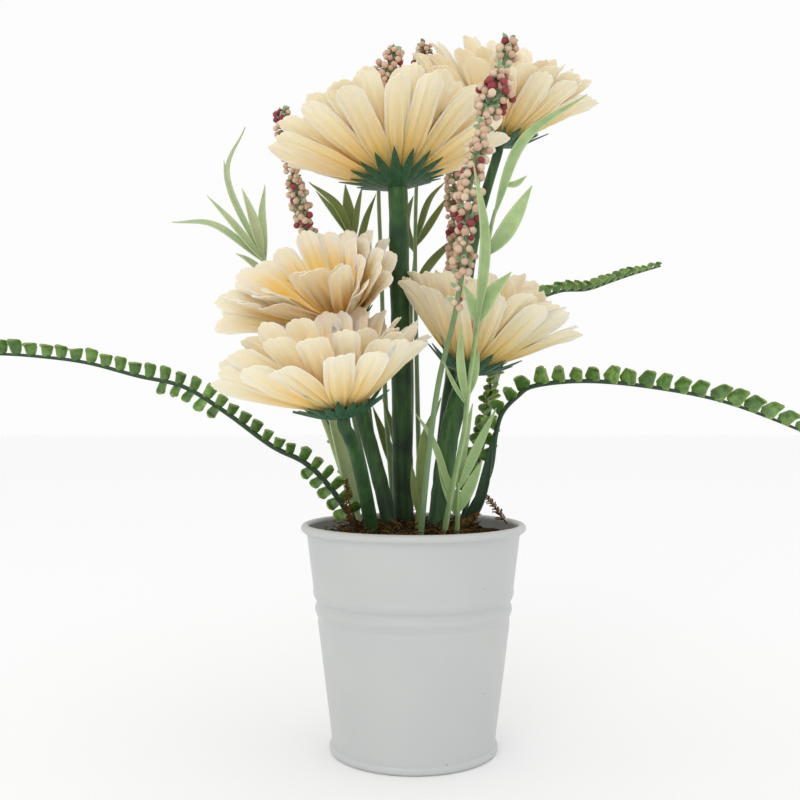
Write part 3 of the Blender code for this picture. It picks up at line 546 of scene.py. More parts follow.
def cup_shape(plan, stem_radius, chance):
    """A cup: a shallow dish whose edge is cut into narrow pointed teeth that follow the petals."""
    columns = CUP_TEETH * 8
    turns = np.linspace(0, math.tau, columns + 1)
    within = np.abs((turns * CUP_TEETH / math.tau) % 1 * 2 - 1)
    reach = np.repeat([chance.uniform(0.84, 1.08) for _ in range(CUP_TEETH)], 8)
    reach = np.append(reach, reach[0])
    valley = 0.55 * plan["teeth"]
    edge = valley + (reach * plan["teeth"] - valley) * (1 - within) ** 1.1
    shares = np.linspace(0, 1, 16)[:, None]
    radius = stem_radius * 0.9 + (edge[None, :] - stem_radius * 0.9) * shares
    rise = np.tan(rise_at(plan, turns) - math.radians(2))[None, :]
    dish = CUP_DISH[1] * np.clip(radius / CUP_DISH[0], 0, 1) ** 1.6
    height = dish + np.maximum(0, radius - CUP_DISH[0]) * rise - 0.7 * (1 - within[None, :]) * shares
    spots = np.stack([radius * np.cos(turns), radius * np.sin(turns), height], axis=2)
    thickness = CUP_SHEET * (1.15 - 0.6 * shares ** 2) * np.ones_like(radius)
    return sheet(moved(spots, bloom_frame(plan)), thickness, 1.0)


# Green polyethylene: waxy and half matt, dyed a little unevenly, with darker bluish blotches and
# fine draw marks along the stem, and painted darker toward the foot as the shade among the stems
# above the moss. The cups are a bluer green.
stem_skin, tree = surface("green polyethylene sleeve", Roughness=0.5, Specular_IOR_Level=0.3,
                          Subsurface_Weight=0.08, Subsurface_Radius=(0.4, 1.0, 0.4),
                          Subsurface_Scale=1.5 * MM)
place, along, _, _, mark = point_marks(tree)
stretch = node(tree, "Mapping", Vector=place, Scale=(1.0, 1.0, 0.12))
draw = node(tree, "TexNoise", Vector=stretch, Scale=per_mm(1.6), Detail=4.0)
blotch = node(tree, "TexNoise", Vector=place, Scale=per_mm(16), Detail=2.0)
stain = node(tree, "MapRange", blotch, 0.42, 0.66, 0.0, 1.0)
streak = node(tree, "MapRange", draw, 0.35, 0.65, 0.0, 1.0)
green = node(tree, "Mix", streak, "294C22", "3F6630", data_type="RGBA")
blue = node(tree, "Mix", stain, green, "223E27", data_type="RGBA")
cup_tint = node(tree, "Mix", streak, "274D35", "386446", data_type="RGBA")
skin = node(tree, "Mix", mark, blue, cup_tint, data_type="RGBA")
plain = node(tree, "Math", 1.0, mark, operation="SUBTRACT")
# Painted shade: the sleeve darker toward its foot, but not the cups.
dull = node(tree, "MapRange", along, 0.1, 0.6, 0.65, 0.0)
foot_shade = node(tree, "Math", dull, plain, operation="MULTIPLY")
foot_shaded = node(tree, "Mix", foot_shade, skin, "141F10", data_type="RGBA")
wax = node(tree, "MapRange", blotch, 0.3, 0.7, 0.36, 0.56)
bump = node(tree, "Bump", Height=draw, Strength=0.35, Distance=0.15 * MM)
feed(tree, Base_Color=foot_shaded, Roughness=wax, Normal=bump)

crowd = {}


def coarse(shape):
    """A shape's faces in a form that can be tested against another's."""
    return BVHTree.FromPolygons([Vector(point) for point in shape[0]], shape[1])


def is_clear(shape, own):
    """True where a shape touches nothing that stands already, apart from its own plant."""
    mine = coarse(shape)
    return not any(mine.overlap(other) for owner in crowd if owner != own for other in crowd[owner])


def stand(own, *shapes):
    """Adds shapes of a plant to what later pieces keep clear of."""
    crowd.setdefault(own, []).extend(coarse(shape) for shape in shapes)


for name, (low, high, _) in BLOOM_STEMS.items():
    chance = random.Random(f"stem {name}")
    line = bent_stem(name)
    swell = [1 + 0.025 * math.sin(number * 0.9) + 0.02 * chance.uniform(-1, 1)
             for number in range(STEM_STATIONS)]
    stem = rod(line, np.linspace(low, high, STEM_STATIONS) * swell, STEM_SIDES)
    cup = cup_shape(BLOOMS[name], high, chance)
    stand(f"bloom {name}", rod(line[::4], np.linspace(low, high, 15) + 0.3, 8), cup)
    piece(f"stem_and_cup_{name}", [stem, cup], stem_skin, "stem", f"bloom_{name}_stem")

# The spikes' stalks are thin moulded stems too. They are laid out here, before the petals, because
# every petal that meets a stalk is bent clear of it.
SPIKES = {
    "front": dict(
        first=0.52, red=(0.05, 0.3, 0.48, 0.78),
        route=[(1, -26, STEM_END), (3, -30, 108), (6.5, -42, 147), (10.5, -55, 178), (17, -64, 206),
               (21, -67, 232), (23.5, -66, 261), (30, -62, 288), (36.5, -57, 309), (42, -52, 328)],
        bulk=(2.0, 2.2, 3.4, 7.6, 5.2, 5.6, 8.2, 7.6, 5.8, 6.2, 7.4, 4.2, 4.4, 8.8, 10.4, 8.6, 3.4, 7.4,
              4.8)),
    "left": dict(
        first=0.6, red=(0.06, 0.2, 0.75, 0.97),
        route=[(-18, 27, STEM_END), (-21, 30, 115), (-33, 42, 170), (-42, 50, 214), (-49, 46, 240),
               (-58, 38, 268), (-66, 32, 303), (-69, 32, 323)],
        bulk=(3.0, 5.6, 7.2, 6.4, 6.8, 6.4, 5.0, 6.4, 5.6)),
    "middle": dict(
        first=0.74, red=(0.35, 0.62),
        route=[(-8, 34, STEM_END), (-10, 38, 114), (-14.5, 54, 170), (-17, 61, 244), (-18.5, 61, 288),
               (-18, 58, 322), (-13, 52, 350), (-9, 50, 362)],
        bulk=(3.4, 5.0, 5.6, 9.2, 9.8, 6.6)),
    "top": dict(
        first=0.82, red=(0.9,),
        route=[(3, 38, STEM_END), (4, 42, 114), (3, 60, 171), (2, 76, 247), (3, 80, 300), (6, 78, 348),
               (7.5, 76, 374)],
        bulk=(3.2, 5.6, 7.4, 8.2, 6.0)),
    "rear": dict(
        first=0.64, red=(0.2, 0.5),
        route=[(9, 34, STEM_END), (11, 40, 114), (18, 54, 171), (22, 64, 225), (24, 64, 258),
               (23, 62, 284), (24, 62, 304)],
        bulk=(2.8, 6.0, 6.4, 5.4, 6.8, 6.0)),
}
STALK_RADII = (1.5, 0.9)
SPIKE_STATIONS = 90
spike_lines = {name: smooth_route(plan["route"], SPIKE_STATIONS) for name, plan in SPIKES.items()}
for name, plan in SPIKES.items():
    last = SPIKE_STATIONS - 1
    begin = round(plan["first"] * last)
    stations = np.arange(SPIKE_STATIONS)
    body = np.interp(stations, np.linspace(begin, last, len(plan["bulk"])), plan["bulk"])
    girths = np.where(stations < begin, 1.9, body * 0.72)
    stand(f"spike {name}", rod(spike_lines[name][::3], girths[::3], 6))

# The sprays' stems are moulded with their leaves, and the fronds' ribs are wired. Both are laid out
# here too, since the petals keep clear of them all.
ROOT_END = 98.0
SPRAYS = {
    "left": dict(
        radius=1.5, coat="pale",
        route=[(-26, 13, ROOT_END), (-28, 14, 113), (-35, 18, 130), (-46, 24, 160), (-59, 34, 186),
               (-72, 42, 215), (-79, 38, 247)],
        leaves=[((-79, 37, 244), (-98, 36, 288), (-89, 38, 316), 3.4),
                ((-90, 37, 270), (-98, 36, 286), (-100, 36, 298), 2.6),
                ((-79, 36, 246), (-84, 30, 267), (-89, 28, 281), 5.6),
                ((-79, 36, 244), (-94, 30, 263), (-107, 28, 277), 4.4),
                ((-79, 35, 243), (-103, 30, 262), (-125, 26, 263), 4.0),
                ((-79, 39, 245), (-81, 46, 270), (-80, 50, 288), 4.6),
                ((-76, 39, 238), (-86, 32, 244), (-92, 28, 247), 3.6),
                ((-27, 14, 113), (-34.5, 14, 141), (-44, 16, 168), 9.0)]),
    "right": dict(
        radius=1.5, coat="bright",
        route=[(13, -24, ROOT_END), (14, -27, 108), (18, -36, 133), (22, -48, 156), (23, -54, 171),
               (27, -63, 204), (29.5, -67, 224), (32, -69, 242), (34, -69, 250)],
        leaves=[((27, -62, 203), (29, -76, 236), (24, -80, 267), 4.6),
                ((34, -68, 247), (46, -67, 280), (74, -64, 301), 4.4),
                ((37, -68, 258), (43, -65, 262), (48, -63, 266), 2.8),
                ((31, -66, 230), (39, -67, 242), (50, -66, 261), 7.4),
                ((27, -62, 202), (32, -64, 214), (41, -66, 224), 6.4),
                ((26, -61, 202), (24, -66, 211), (20, -71, 218), 4.4),
                ((22.5, -52, 169), (19.5, -61, 186), (19.5, -70, 201), 3.8),
                ((23, -53, 170), (26, -55, 181), (28, -54, 192), 3.6),
                ((22, -51, 168), (17, -57, 176), (12, -61, 186), 1.8)]),
    "base": dict(
        radius=1.4, coat="light",
        route=[(19, -20, ROOT_END), (20, -24, 108), (20, -30, 122), (20, -33, 132)],
        leaves=[((20, -26, 116), (15, -34, 131), (11, -38, 143), 6.0),
                ((20, -27, 118), (26, -32, 131), (31, -35, 142), 5.4),
                ((20, -30, 128), (28, -37, 147), (37, -41, 166), 4.6),
                ((20, -31, 130), (23, -31, 150), (27, -31, 168), 4.2),
                ((19.5, -27, 120), (9.5, -25, 149), (0.5, -25, 164), 3.6)]),
    "rear_left": dict(
        radius=1.3, coat="olive",
        route=[(-13, 36, ROOT_END), (-16, 42, 112), (-24, 62, 170), (-30, 74, 230), (-33, 76, 265)],
        leaves=[((-33, 75, 262), (-42, 73, 281), (-58, 70, 294), 5.0),
                ((-32, 76, 260), (-43, 80, 277), (-55, 84, 292), 4.4),
                ((-33, 76, 263), (-36, 78, 279), (-38, 80, 295), 7.0),
                ((-32, 75, 262), (-31, 73, 278), (-28, 71, 292), 3.6),
                ((-31, 74, 252), (-26, 69, 272), (-20, 65, 286), 4.2)]),
    "rear_middle": dict(
        radius=1.3, coat="olive",
        route=[(-2, 44, ROOT_END), (-2, 46, 112), (0, 66, 171), (0, 84, 226), (3, 92, 268)],
        leaves=[((2, 91, 262), (12, 90, 276), (22, 88, 291), 4.2),
                ((3, 92, 266), (10, 94, 288), (20, 94, 300), 4.0),
                ((0, 86, 232), (11, 84, 250), (28, 80, 267), 5.4),
                ((2, 90, 256), (-4, 88, 273), (1, 88, 290), 6.2),
                ((0, 82, 222), (-12, 88, 240), (-20, 92, 262), 5.0),
                ((-2, 47, 118), (-12, 47, 142), (-22, 48, 168), 6.0),
                ((-2, 48, 124), (-9, 49, 150), (-16, 51, 172), 5.0)]),
    "middle": dict(
        radius=1.3, coat="olive",
        route=[(1, -12, ROOT_END), (1.5, -13.5, 108), (2, -14, 118), (3, -14.5, 128)],
        leaves=[((2.5, -14, 122), (5, -14.5, 150), (13, -17, 171), 5.4),
                ((2, -14, 116), (0, -15, 130), (-1, -15, 139), 3.6)]),
}
FRONDS = {
    "left": dict(
        first=0.08, pairs=31, tall=(8.8, 8.4), wide=(0.76, 0.66), lean=(10, 4), turn=30,
        hang=((0.44, 0.58), (0.0, 0.22)), form=(0.72, 1.0),
        route=[(-28, 1, ROOT_END), (-31, 0, 112), (-42, -4, 129), (-53, -9, 140), (-68, -14, 148),
               (-89, -20, 164), (-108, -25, 176), (-129, -28, 181), (-152, -30, 187), (-176, -30, 190),
               (-196, -29, 191), (-216, -27, 190)]),
    "right": dict(
        first=0.2, pairs=24, tall=(9.4, 11.0), wide=(1.25, 0.7), lean=(-6, 42), turn=34,
        form=(1.0, 0.55),
        route=[(24, 9, ROOT_END), (27, 10, 112), (38, 9, 133), (41, 6, 153), (44, 2, 164),
               (51, -2, 172), (59, -6, 177), (82, -14, 179), (111, -22, 176), (144, -27, 169),
               (178, -29, 156), (196, -29, 147)]),
    "back": dict(
        first=0.16, pairs=34, tall=(8.4, 9.6), wide=(0.8, 0.42), lean=(10, 62), turn=25,
        form=(0.8, 0.9),
        route=[(24, 24, ROOT_END), (27, 28, 113), (36, 34, 144), (42, 42, 170), (47, 50, 186),
               (56, 60, 210), (67, 68, 225), (84, 76, 233), (101, 84, 235), (117, 94, 241),
               (133, 104, 247), (151, 114, 253)]),
    "rear_left": dict(
        first=0.17, pairs=14, tall=(9.0, 7.0), wide=(0.6, 0.6), lean=(20, 20), turn=20,
        form=(0.8, 1.0),
        route=[(-26, 24, ROOT_END), (-31, 28, 114), (-37, 36, 132), (-43, 48, 152), (-52, 64, 174),
               (-64, 82, 194), (-80, 100, 206)]),
    "short": dict(
        first=0.24, pairs=9, tall=(9.0, 8.0), wide=(1.0, 1.0), lean=(10, 0), turn=35,
        form=(0.9, 0.8),
        route=[(20, 14, ROOT_END), (22, 17, 112), (28, 20, 126), (34, 24, 145), (40, 30, 163),
               (41, 36, 182)]),
}

for kind, plans in (("spray", SPRAYS), ("frond", FRONDS)):
    for name, plan in plans.items():
        stand(f"{kind} {name}", rod(smooth_route(plan["route"], 24), [2.0] * 24, 5))

# The petals: polyester cloth die-cut in discs of petals, starched, hot-pressed with lengthwise ribs
# and stacked on the hub, so that every layer's petals show in the gaps of the one outside it.
HUB_RADIUS = 9.0
HUB_BOTTOM = 2.9
HUB_TOP = 8.6
HUB_OUTLINE = [(0.0, HUB_BOTTOM), (HUB_RADIUS - 2, HUB_BOTTOM), (HUB_RADIUS - 0.5, HUB_BOTTOM + 2),
               (HUB_RADIUS - 1, HUB_TOP), (0.0, HUB_TOP)]
ROOT_RADIUS = 6.5
LAYERS = (dict(count=16, steeper=-1, curl=8, share=1.0, height=3.5, width=13.6),
          dict(count=16, steeper=7, curl=9, share=0.98, height=5.0, width=13.6),
          dict(count=13, steeper=20, curl=10, share=0.88, height=6.6, width=13.0))
SLANT_SHARE = 1.6
PETAL_ROWS = 20
PETAL_COLUMNS = 13
PETAL_STEPS = 48
PETAL_SHEET = 0.36
RIB_RISE = 0.55
WEAVE = 0.9


def eased(share):
    """A smooth step from 0 to 1."""
    share = np.clip(share, 0, 1)
    return share * share * (3 - 2 * share)


def petal_grid(base, form, rows, columns, extra=0.0):
    """A petal as a grid of points: a strap that widens, cups, curls and ends in a round notched tip."""
    fine = np.linspace(0, 1, PETAL_STEPS)
    angle = form["lift"] + form["curl"] * fine - form["flare"] * eased((fine - 0.62) / 0.38)
    radial = ROOT_RADIUS + np.cumsum(np.cos(angle)) * form["reach"] / PETAL_STEPS
    height = np.cumsum(np.sin(angle)) * form["reach"] / PETAL_STEPS
    t = np.linspace(-1, 1, columns)
    notch = 0.018 * np.exp(-((np.abs(t) - 0.36) / 0.13) ** 2)
    share = np.linspace(0, 1, rows)[:, None] ** 0.92 * (1 - 0.12 * np.abs(t) ** 2.6 - notch)
    half = 0.40 + 0.60 * np.sin(math.pi / 2 * np.clip(share / 0.58, 0, 1))
    half = form["width"] / 2 * half * (1 - 0.12 * np.clip((share - 0.86) / 0.14, 0, 1) ** 2) + extra
    body = np.sin(math.pi * np.clip(share, 0, 1)) ** 0.6
    ribs = RIB_RISE * (np.cos(3 * math.pi * t) + 0.4 * np.cos(7 * math.pi * t + form["phase"])) * body
    ripple = form["wave"] * np.abs(t) ** 3 * np.sin(11 * share + form["phase"] + 2.0 * (t > 0))
    deep = form["hollow"] * half * t ** 2 + ribs + ripple * share
    wide = t * half
    roll = form["twist"] * np.sin(math.pi / 2 * share)
    aside = wide * np.cos(roll) - deep * np.sin(roll) + form["bend"] * share ** 2
    rise = wide * np.sin(roll) + deep * np.cos(roll)
    way = np.interp(share, fine, angle)
    out = np.interp(share, fine, radial) - rise * np.sin(way)
    upward = np.interp(share, fine, height) + rise * np.cos(way)
    across, ahead = math.sin(form["spin"]), math.cos(form["spin"])
    grid = np.stack([out * ahead - aside * across, out * across + aside * ahead, upward], axis=2)
    return moved(grid, base)


def fitted_form(base, own, form):
    """A petal's form turned, raised or shortened until it stands clear of what is round it."""
    for shorter in (1.0, 0.92, 0.82, 0.70, 0.58):
        for raised in (0, 5, -3, 10, 16):
            for turned_by in (0, 4, -4, 8, -8):
                trial = dict(form, spin=form["spin"] + math.radians(turned_by),
                             lift=form["lift"] + math.radians(raised), reach=form["reach"] * shorter)
                if is_clear(sheet(petal_grid(base, trial, 6, 3, 0.3), 1.4), own):
                    return trial
    return None


# Petal cloth: a fine plain weave, drawn here at a coarser 0.9 mm since the real 0.2 mm threads do
# not show. It is sprayed cream, peach on its outer face and golden near the root, and light comes
# through it. Gold is painted along the lower edges, where petals overlap, and on the outer faces of
# the inner layers, for the shade and the light through the stacked cloth there. Ribs catch pale dye.
# The tips are paler, and the upper edges carry a painted highlight.
petal_cloth, tree = surface("pressed polyester petal cloth", Roughness=0.8, Sheen_Weight=0.15,
                            Sheen_Roughness=0.5, Specular_IOR_Level=0.2, Subsurface_Weight=0.85,
                            Subsurface_Radius=(1.0, 0.78, 0.46), Subsurface_Scale=1.3 * MM)
place, along, across, side, mark = point_marks(tree)
lane = node(tree, "CombineXYZ", across, along, mark)
long_lane = node(tree, "Mapping", Vector=lane, Scale=(6.5, 1.2, 90.0))
dye = node(tree, "TexNoise", Vector=long_lane, Scale=1.0, Detail=4.0, Roughness=0.6)
root = node(tree, "MapRange", along, 0.1, 0.92, 1.0, 0.0, interpolation_type="SMOOTHSTEP")
deep = node(tree, "MapRange", mark, 0.2, 0.45, 0.0, 1.0)
inner = node(tree, "Mix", root, "F6E6C6", "FFBA48", data_type="RGBA")
shown = node(tree, "Mix", root, "F2E1CA", "F3D2A9", data_type="RGBA")
# Painted glow: the inner layers' outer faces are gold up to near the tip, for light through stacked
# cloth.
high = node(tree, "MapRange", along, 0.45, 0.95, 1.0, 0.0, interpolation_type="SMOOTHSTEP")
deep_layer_glow = node(tree, "Mix", high, "F2E1CA", "FFC658", data_type="RGBA")
outer = node(tree, "Mix", deep, shown, deep_layer_glow, data_type="RGBA")
cloth = node(tree, "Mix", side, outer, inner, data_type="RGBA")
pale = node(tree, "MapRange", dye, 0.38, 0.68, 0.0, 0.5)
streaked = node(tree, "Mix", pale, cloth, "F1E2C6", data_type="RGBA")
# Painted shade: gold along the lower edges, where petals overlap.
rim = node(tree, "Math", across, across, operation="MULTIPLY")
margin = node(tree, "MapRange", rim, 0.5, 1.0, 0.0, 1.0)
overlap_reach = node(tree, "MapRange", along, 0.35, 0.85, 0.8, 0.0, interpolation_type="SMOOTHSTEP")
overlap_shade = node(tree, "Math", margin, overlap_reach, operation="MULTIPLY")
overlap_shaded = node(tree, "Mix", overlap_shade, streaked, "FFC55E", data_type="RGBA")
# Painted highlight: the edges paler toward the tip; the tips are paler as well.
thin = node(tree, "Math", margin, along, operation="MULTIPLY")
tip = node(tree, "MapRange", along, 0.7, 1.0, 0.0, 0.7, interpolation_type="SMOOTHSTEP")
overlay_share = node(tree, "Math", tip, thin, operation="MAXIMUM")
edged = node(tree, "Mix", overlay_share, overlap_shaded, "F1E7D6", data_type="RGBA")
rib_wave = node(tree, "TexWave", Vector=lane, Scale=1.9, Distortion=0.6, Detail=1.0, out="Fac")
weave = node(tree, "TexNoise", Vector=place, Scale=per_mm(WEAVE), Detail=2.0)
relief = node(tree, "Math", weave, rib_wave, operation="ADD")
bump = node(tree, "Bump", Height=relief, Strength=0.45, Distance=0.18 * MM)
feed(tree, Base_Color=edged, Normal=bump)

for name, plan in BLOOMS.items():
    base = bloom_frame(plan)
    chance = random.Random(f"petals {name}")
    shapes = []
    guards = []
    for place, layer in enumerate(LAYERS):
        seat = base @ Matrix.Translation((0.0, 0.0, layer["height"]))
        pitch = math.tau / layer["count"]
        for number in range(layer["count"]):
            spin = math.radians(plan["start"] + chance.uniform(-3, 3)) + pitch * (number + place / 2)
            lift = float(rise_at(plan, spin)) + math.radians(layer["steeper"] + chance.uniform(-4, 4))
            slope = float(rise_at(plan, spin + 0.5) - rise_at(plan, spin - 0.5))
            brush = chance.uniform(-10, 10) - plan["brushed"] * math.cos(spin)
            form = dict(spin=spin, lift=lift, curl=math.radians(layer["curl"] + chance.uniform(-8, 8)),
                        flare=math.radians(chance.uniform(-6, 22)),
                        twist=SLANT_SHARE * slope + math.radians(brush), bend=chance.uniform(-2.5, 2.5),
                        phase=chance.uniform(0, math.tau), wave=chance.uniform(0.2, 1.0),
                        hollow=chance.uniform(0.10, 0.42),
                        reach=(at_heading(plan["reaches"], spin) - ROOT_RADIUS) * layer["share"] *
                        chance.uniform(0.94, 1.0),
                        width=layer["width"] * chance.uniform(0.84, 1.10))
            form = fitted_form(seat, f"bloom {name}", form)
            if form:
                grid = petal_grid(seat, form, PETAL_ROWS, PETAL_COLUMNS)
                edge = PETAL_SHEET * (1 - 0.5 * np.abs(np.linspace(-1, 1, PETAL_COLUMNS)) ** 4)
                shapes.append(sheet(grid, np.tile(edge, (PETAL_ROWS, 1)), (place + chance.random()) / 3))
                guards.append(sheet(petal_grid(seat, form, 6, 3), 0.8))
    shapes.append(seated(turned(HUB_OUTLINE, 24), base))
    stand(f"bloom {name}", *guards)
    piece(f"petals_{name}", shapes, petal_cloth, "petal", f"bloom_{name}_petals")

# The eyes: a button of short golden pile in the middle of each bloom, browner at its centre and
# glued on the hub. Each tuft is painted darker toward its foot, as shade down in the pile.
EYE_BOTTOM = HUB_TOP + 0.3
EYE_OUTLINE = [(0.0, EYE_BOTTOM), (5.0, EYE_BOTTOM), (5.6, EYE_BOTTOM + 1.4), (3.0, EYE_BOTTOM + 2.6),
               (0.0, EYE_BOTTOM + 3.0)]
TUFTS = 260
GOLDEN_ANGLE = 2.39996
pile, tree = surface("golden pile", Roughness=0.9, Sheen_Weight=0.4, Specular_IOR_Level=0.2)
place, along, _, _, mark = point_marks(tree)
gold = node(tree, "Mix", mark, "A06A1D", "D8A746", data_type="RGBA")
# Painted shade: darker toward the foot of each tuft.
pile_foot_shaded = node(tree, "Mix", along, "744616", gold, data_type="RGBA")
fluff = node(tree, "TexNoise", Vector=place, Scale=per_mm(0.8))
bump = node(tree, "Bump", Height=fluff, Strength=0.5, Distance=0.2 * MM)
feed(tree, Base_Color=pile_foot_shaded, Normal=bump)
for name, plan in BLOOMS.items():
    base = bloom_frame(plan)
    chance = random.Random(f"eye {name}")
    shapes = [seated(turned(EYE_OUTLINE, 20), base)]
    for number in range(TUFTS):
        out = math.sqrt((number + 0.5) / TUFTS)
        angle = number * GOLDEN_ANGLE
        flat = Vector((math.cos(angle), math.sin(angle), 0.0)) * out
        foot = 5.2 * flat + UP * (EYE_BOTTOM + 2.4 * (1 - out ** 2))
        way = (0.9 * flat + UP).normalized()
        tall = chance.uniform(1.6, 2.4)
        route = [base @ foot, base @ (foot + way * tall * 0.6), base @ (foot + way * tall)]
        shapes.append(rod(route, [0.24, 0.34, 0.16], 5, chance.random() * (0.3 + 0.7 * out)))
    piece(f"eye_{name}", shapes, pile, "eye", f"bloom_{name}_eye")

# The berry spikes: foam beads dipped in paint, cream and crimson, wired in clumps to a thin moulded
# stalk, with small pointed bracts between them.
BERRY_RADIUS = 1.7
BERRY_SIDES = 12
BERRY_RINGS = 8
CRIMSON_SHARE = 0.10
CLUSTER_SHARE = 0.62
BERRIES_PER_CUBE = 0.0125


def ball(centre, radius, chance, tone):
    """A berry: a ball slightly out of round, with a small dimple at its tip."""
    squash = chance.uniform(0.92, 1.04)
    lean = Vector([chance.gauss(0, 1) for _ in range(3)]).normalized()
    turn = UP.rotation_difference(lean).to_matrix()
    polars = np.linspace(0, math.pi, BERRY_RINGS + 1)[1:-1]
    outline = [(0.0, -radius), *zip(radius * np.sin(polars), -radius * squash * np.cos(polars)),
               (0.0, radius * squash * 0.9)]
    points, faces, marks = turned(outline, BERRY_SIDES)
    return points @ np.array(turn).T + np.array(centre), faces, marks + (0.0, 0.0, 0.5, tone)


def berry_coat(name, light, deep):
    """Paint on a foam bead: dull, thicker in the hollows, with the bead's grain showing through."""
    coat, tree = surface(name, Roughness=0.6, Specular_IOR_Level=0.35, Subsurface_Weight=0.15,
                         Subsurface_Radius=(1.0, 0.5, 0.3), Subsurface_Scale=1.0 * MM)
    place, _, _, _, mark = point_marks(tree)
    grain = node(tree, "TexNoise", Vector=place, Scale=per_mm(0.8), Detail=3.0)
    paint = node(tree, "Mix", mark, light, deep, data_type="RGBA")
    overlay_share = node(tree, "MapRange", grain, 0.5, 0.75, 0.0, 0.5)
    tint = node(tree, "Mix", overlay_share, paint, deep, data_type="RGBA")
    bump = node(tree, "Bump", Height=grain, Strength=0.4, Distance=0.15 * MM)
    feed(tree, Base_Color=tint, Normal=bump)
    return coat


def lance(root, middle, tip, width, facing, rows=14, columns=7, fold=0.22, extra=0.0):
    """A lance leaf as a grid of points along a bow from root to tip, folded along its middle."""
    bow = smooth_route([root, middle, tip], rows)
    ways = headings(bow)
    t = np.linspace(-1, 1, columns)
    grid = []
    for number, (spot, way) in enumerate(zip(bow, ways)):
        share = number / (rows - 1)
        side = way.cross(facing).normalized()
        normal = side.cross(way).normalized()
        half = width / 2 * max(0.24 * (1 - share), math.sin(math.pi * share ** 0.8) ** 0.95, 0.03) + extra
        grid.append([spot + side * value * half + normal * half * fold * value ** 2 for value in t])
    return np.array(grid)


def leaf_coat(name, light, deep, pale):
    """Moulded leaf sheet: matt, with lengthwise veins, paler at its edges and deeper at its root."""
    coat, tree = surface(name, IOR=1.5, Roughness=0.55, Subsurface_Weight=0.2,
                         Subsurface_Radius=(0.5, 1.0, 0.3), Subsurface_Scale=1.2 * MM)
    place, along, across, _, mark = point_marks(tree)
    lane = node(tree, "CombineXYZ", across, along, mark)
    vein = node(tree, "TexWave", Vector=lane, Scale=1.6, Distortion=0.4, out="Fac")
    mottle = node(tree, "TexNoise", Vector=place, Scale=per_mm(5), Detail=4.0)
    shift = node(tree, "MapRange", mottle, 0.3, 0.7, -0.2, 0.2)
    amount = node(tree, "Math", mark, shift, operation="ADD", use_clamp=True)
    blade = node(tree, "Mix", amount, light, deep, data_type="RGBA")
    foot = node(tree, "MapRange", along, 0.0, 0.6, 0.6, 0.0, interpolation_type="SMOOTHSTEP")
    rooted = node(tree, "Mix", foot, blade, deep, data_type="RGBA")
    rim = node(tree, "Math", across, across, operation="MULTIPLY")
    bright = node(tree, "MapRange", rim, 0.45, 1.0, 0.0, 0.45)
    edged = node(tree, "Mix", bright, rooted, pale, data_type="RGBA")
    bump = node(tree, "Bump", Height=vein, Strength=0.4, Distance=0.12 * MM)
    feed(tree, Base_Color=edged, Normal=bump)
    return coat


cream = berry_coat("cream painted bead", "DCC6AC", "C6A188")
crimson = berry_coat("crimson painted bead", "A44A52", "78282F")
bract_skin = leaf_coat("moulded bract", "A5B994", "839F75", "B2C59F")
stalk_skin = leaf_coat("moulded stalk", "789262", "57744C", "869D71")


def berry_places(plan, line, chance):
    """Centres of the berries: a thick stem of them whose girth swells and shrinks in clumps."""
    begin = round(plan["first"] * (len(line) - 1))
    zone = line[begin:]
    ways = headings(zone)
    steps = len(zone) - 1
    run = sum((two - one).length for one, two in zip(zone, zone[1:]))
    bulk = np.interp(np.linspace(0, 1, 200), np.linspace(0, 1, len(plan["bulk"])), plan["bulk"])
    volume = float(np.mean(bulk ** 2)) * math.pi * run
    wanted = int(volume * BERRIES_PER_CUBE)
    spots = []
    for _ in range(wanted * 14):
        share = chance.random()
        place = min(int(share * steps), steps - 1)
        centre = zone[place].lerp(zone[place + 1], share * steps - place)
        girth = float(bulk[min(199, int(share * 200))])
        if chance.random() > (girth / max(plan["bulk"])) ** 1.2 + 0.1:
            continue
        across = ways[place].orthogonal().normalized()
        angle = chance.uniform(0, math.tau)
        out = across * math.cos(angle) + ways[place].cross(across) * math.sin(angle)
        far = max(1.6, girth - BERRY_RADIUS) * math.sqrt(chance.uniform(0.25, 1.0))
        spot = centre + out * far
        if all((spot - other[0]).length > 1.62 * BERRY_RADIUS for other in spots):
            red = max(math.exp(-((share - peak) / 0.035) ** 2) for peak in plan["red"])
            spots.append((spot, centre, chance.random() < CRIMSON_SHARE + CLUSTER_SHARE * red))
        if len(spots) >= wanted:
            break
    return spots


for name, plan in SPIKES.items():
    line = spike_lines[name]
    chance = random.Random(f"berries {name}")
    stalk = [rod(line, np.linspace(*STALK_RADII, len(line)), 10, 0.3)]
    light_ones = []
    red_ones = []
    bracts = []
    for spot, centre, is_red in berry_places(plan, line, chance):
        size = BERRY_RADIUS * chance.uniform(0.80, 1.12)
        berry = ball(spot, size, chance, chance.random())
        if not is_clear(berry, f"spike {name}"):
            continue
        stalk.append(rod([centre, centre.lerp(spot, 0.9)], [0.35, 0.3], 4, 0.3))
        (red_ones if is_red else light_ones).append(berry)
        if chance.random() < 0.5:
            out = (spot - centre).normalized()
            way = (out + UP * chance.uniform(0.1, 1.1)).normalized()
            foot = centre + out * 1.2
            tip = foot + way * chance.uniform(3.4, 4.8)
            facing = Vector((chance.uniform(-1, 1), -1.0, chance.uniform(-0.5, 0.5))).normalized()
            grid = lance(foot, foot.lerp(tip, 0.5) + UP * 0.5, tip, 2.8, facing, 6, 5, 0.3)
            bracts.append(sheet(grid, 0.4, chance.random()))
    piece(f"stalk_{name}", stalk, stalk_skin, "stem", f"spike_{name}")
    piece(f"berries_cream_{name}", light_ones, cream, "berry", f"spike_{name}")
    piece(f"berries_crimson_{name}", red_ones, crimson, "berry", f"spike_{name}")
    piece(f"bracts_{name}", bracts, bract_skin, "leaf", f"spike_{name}")

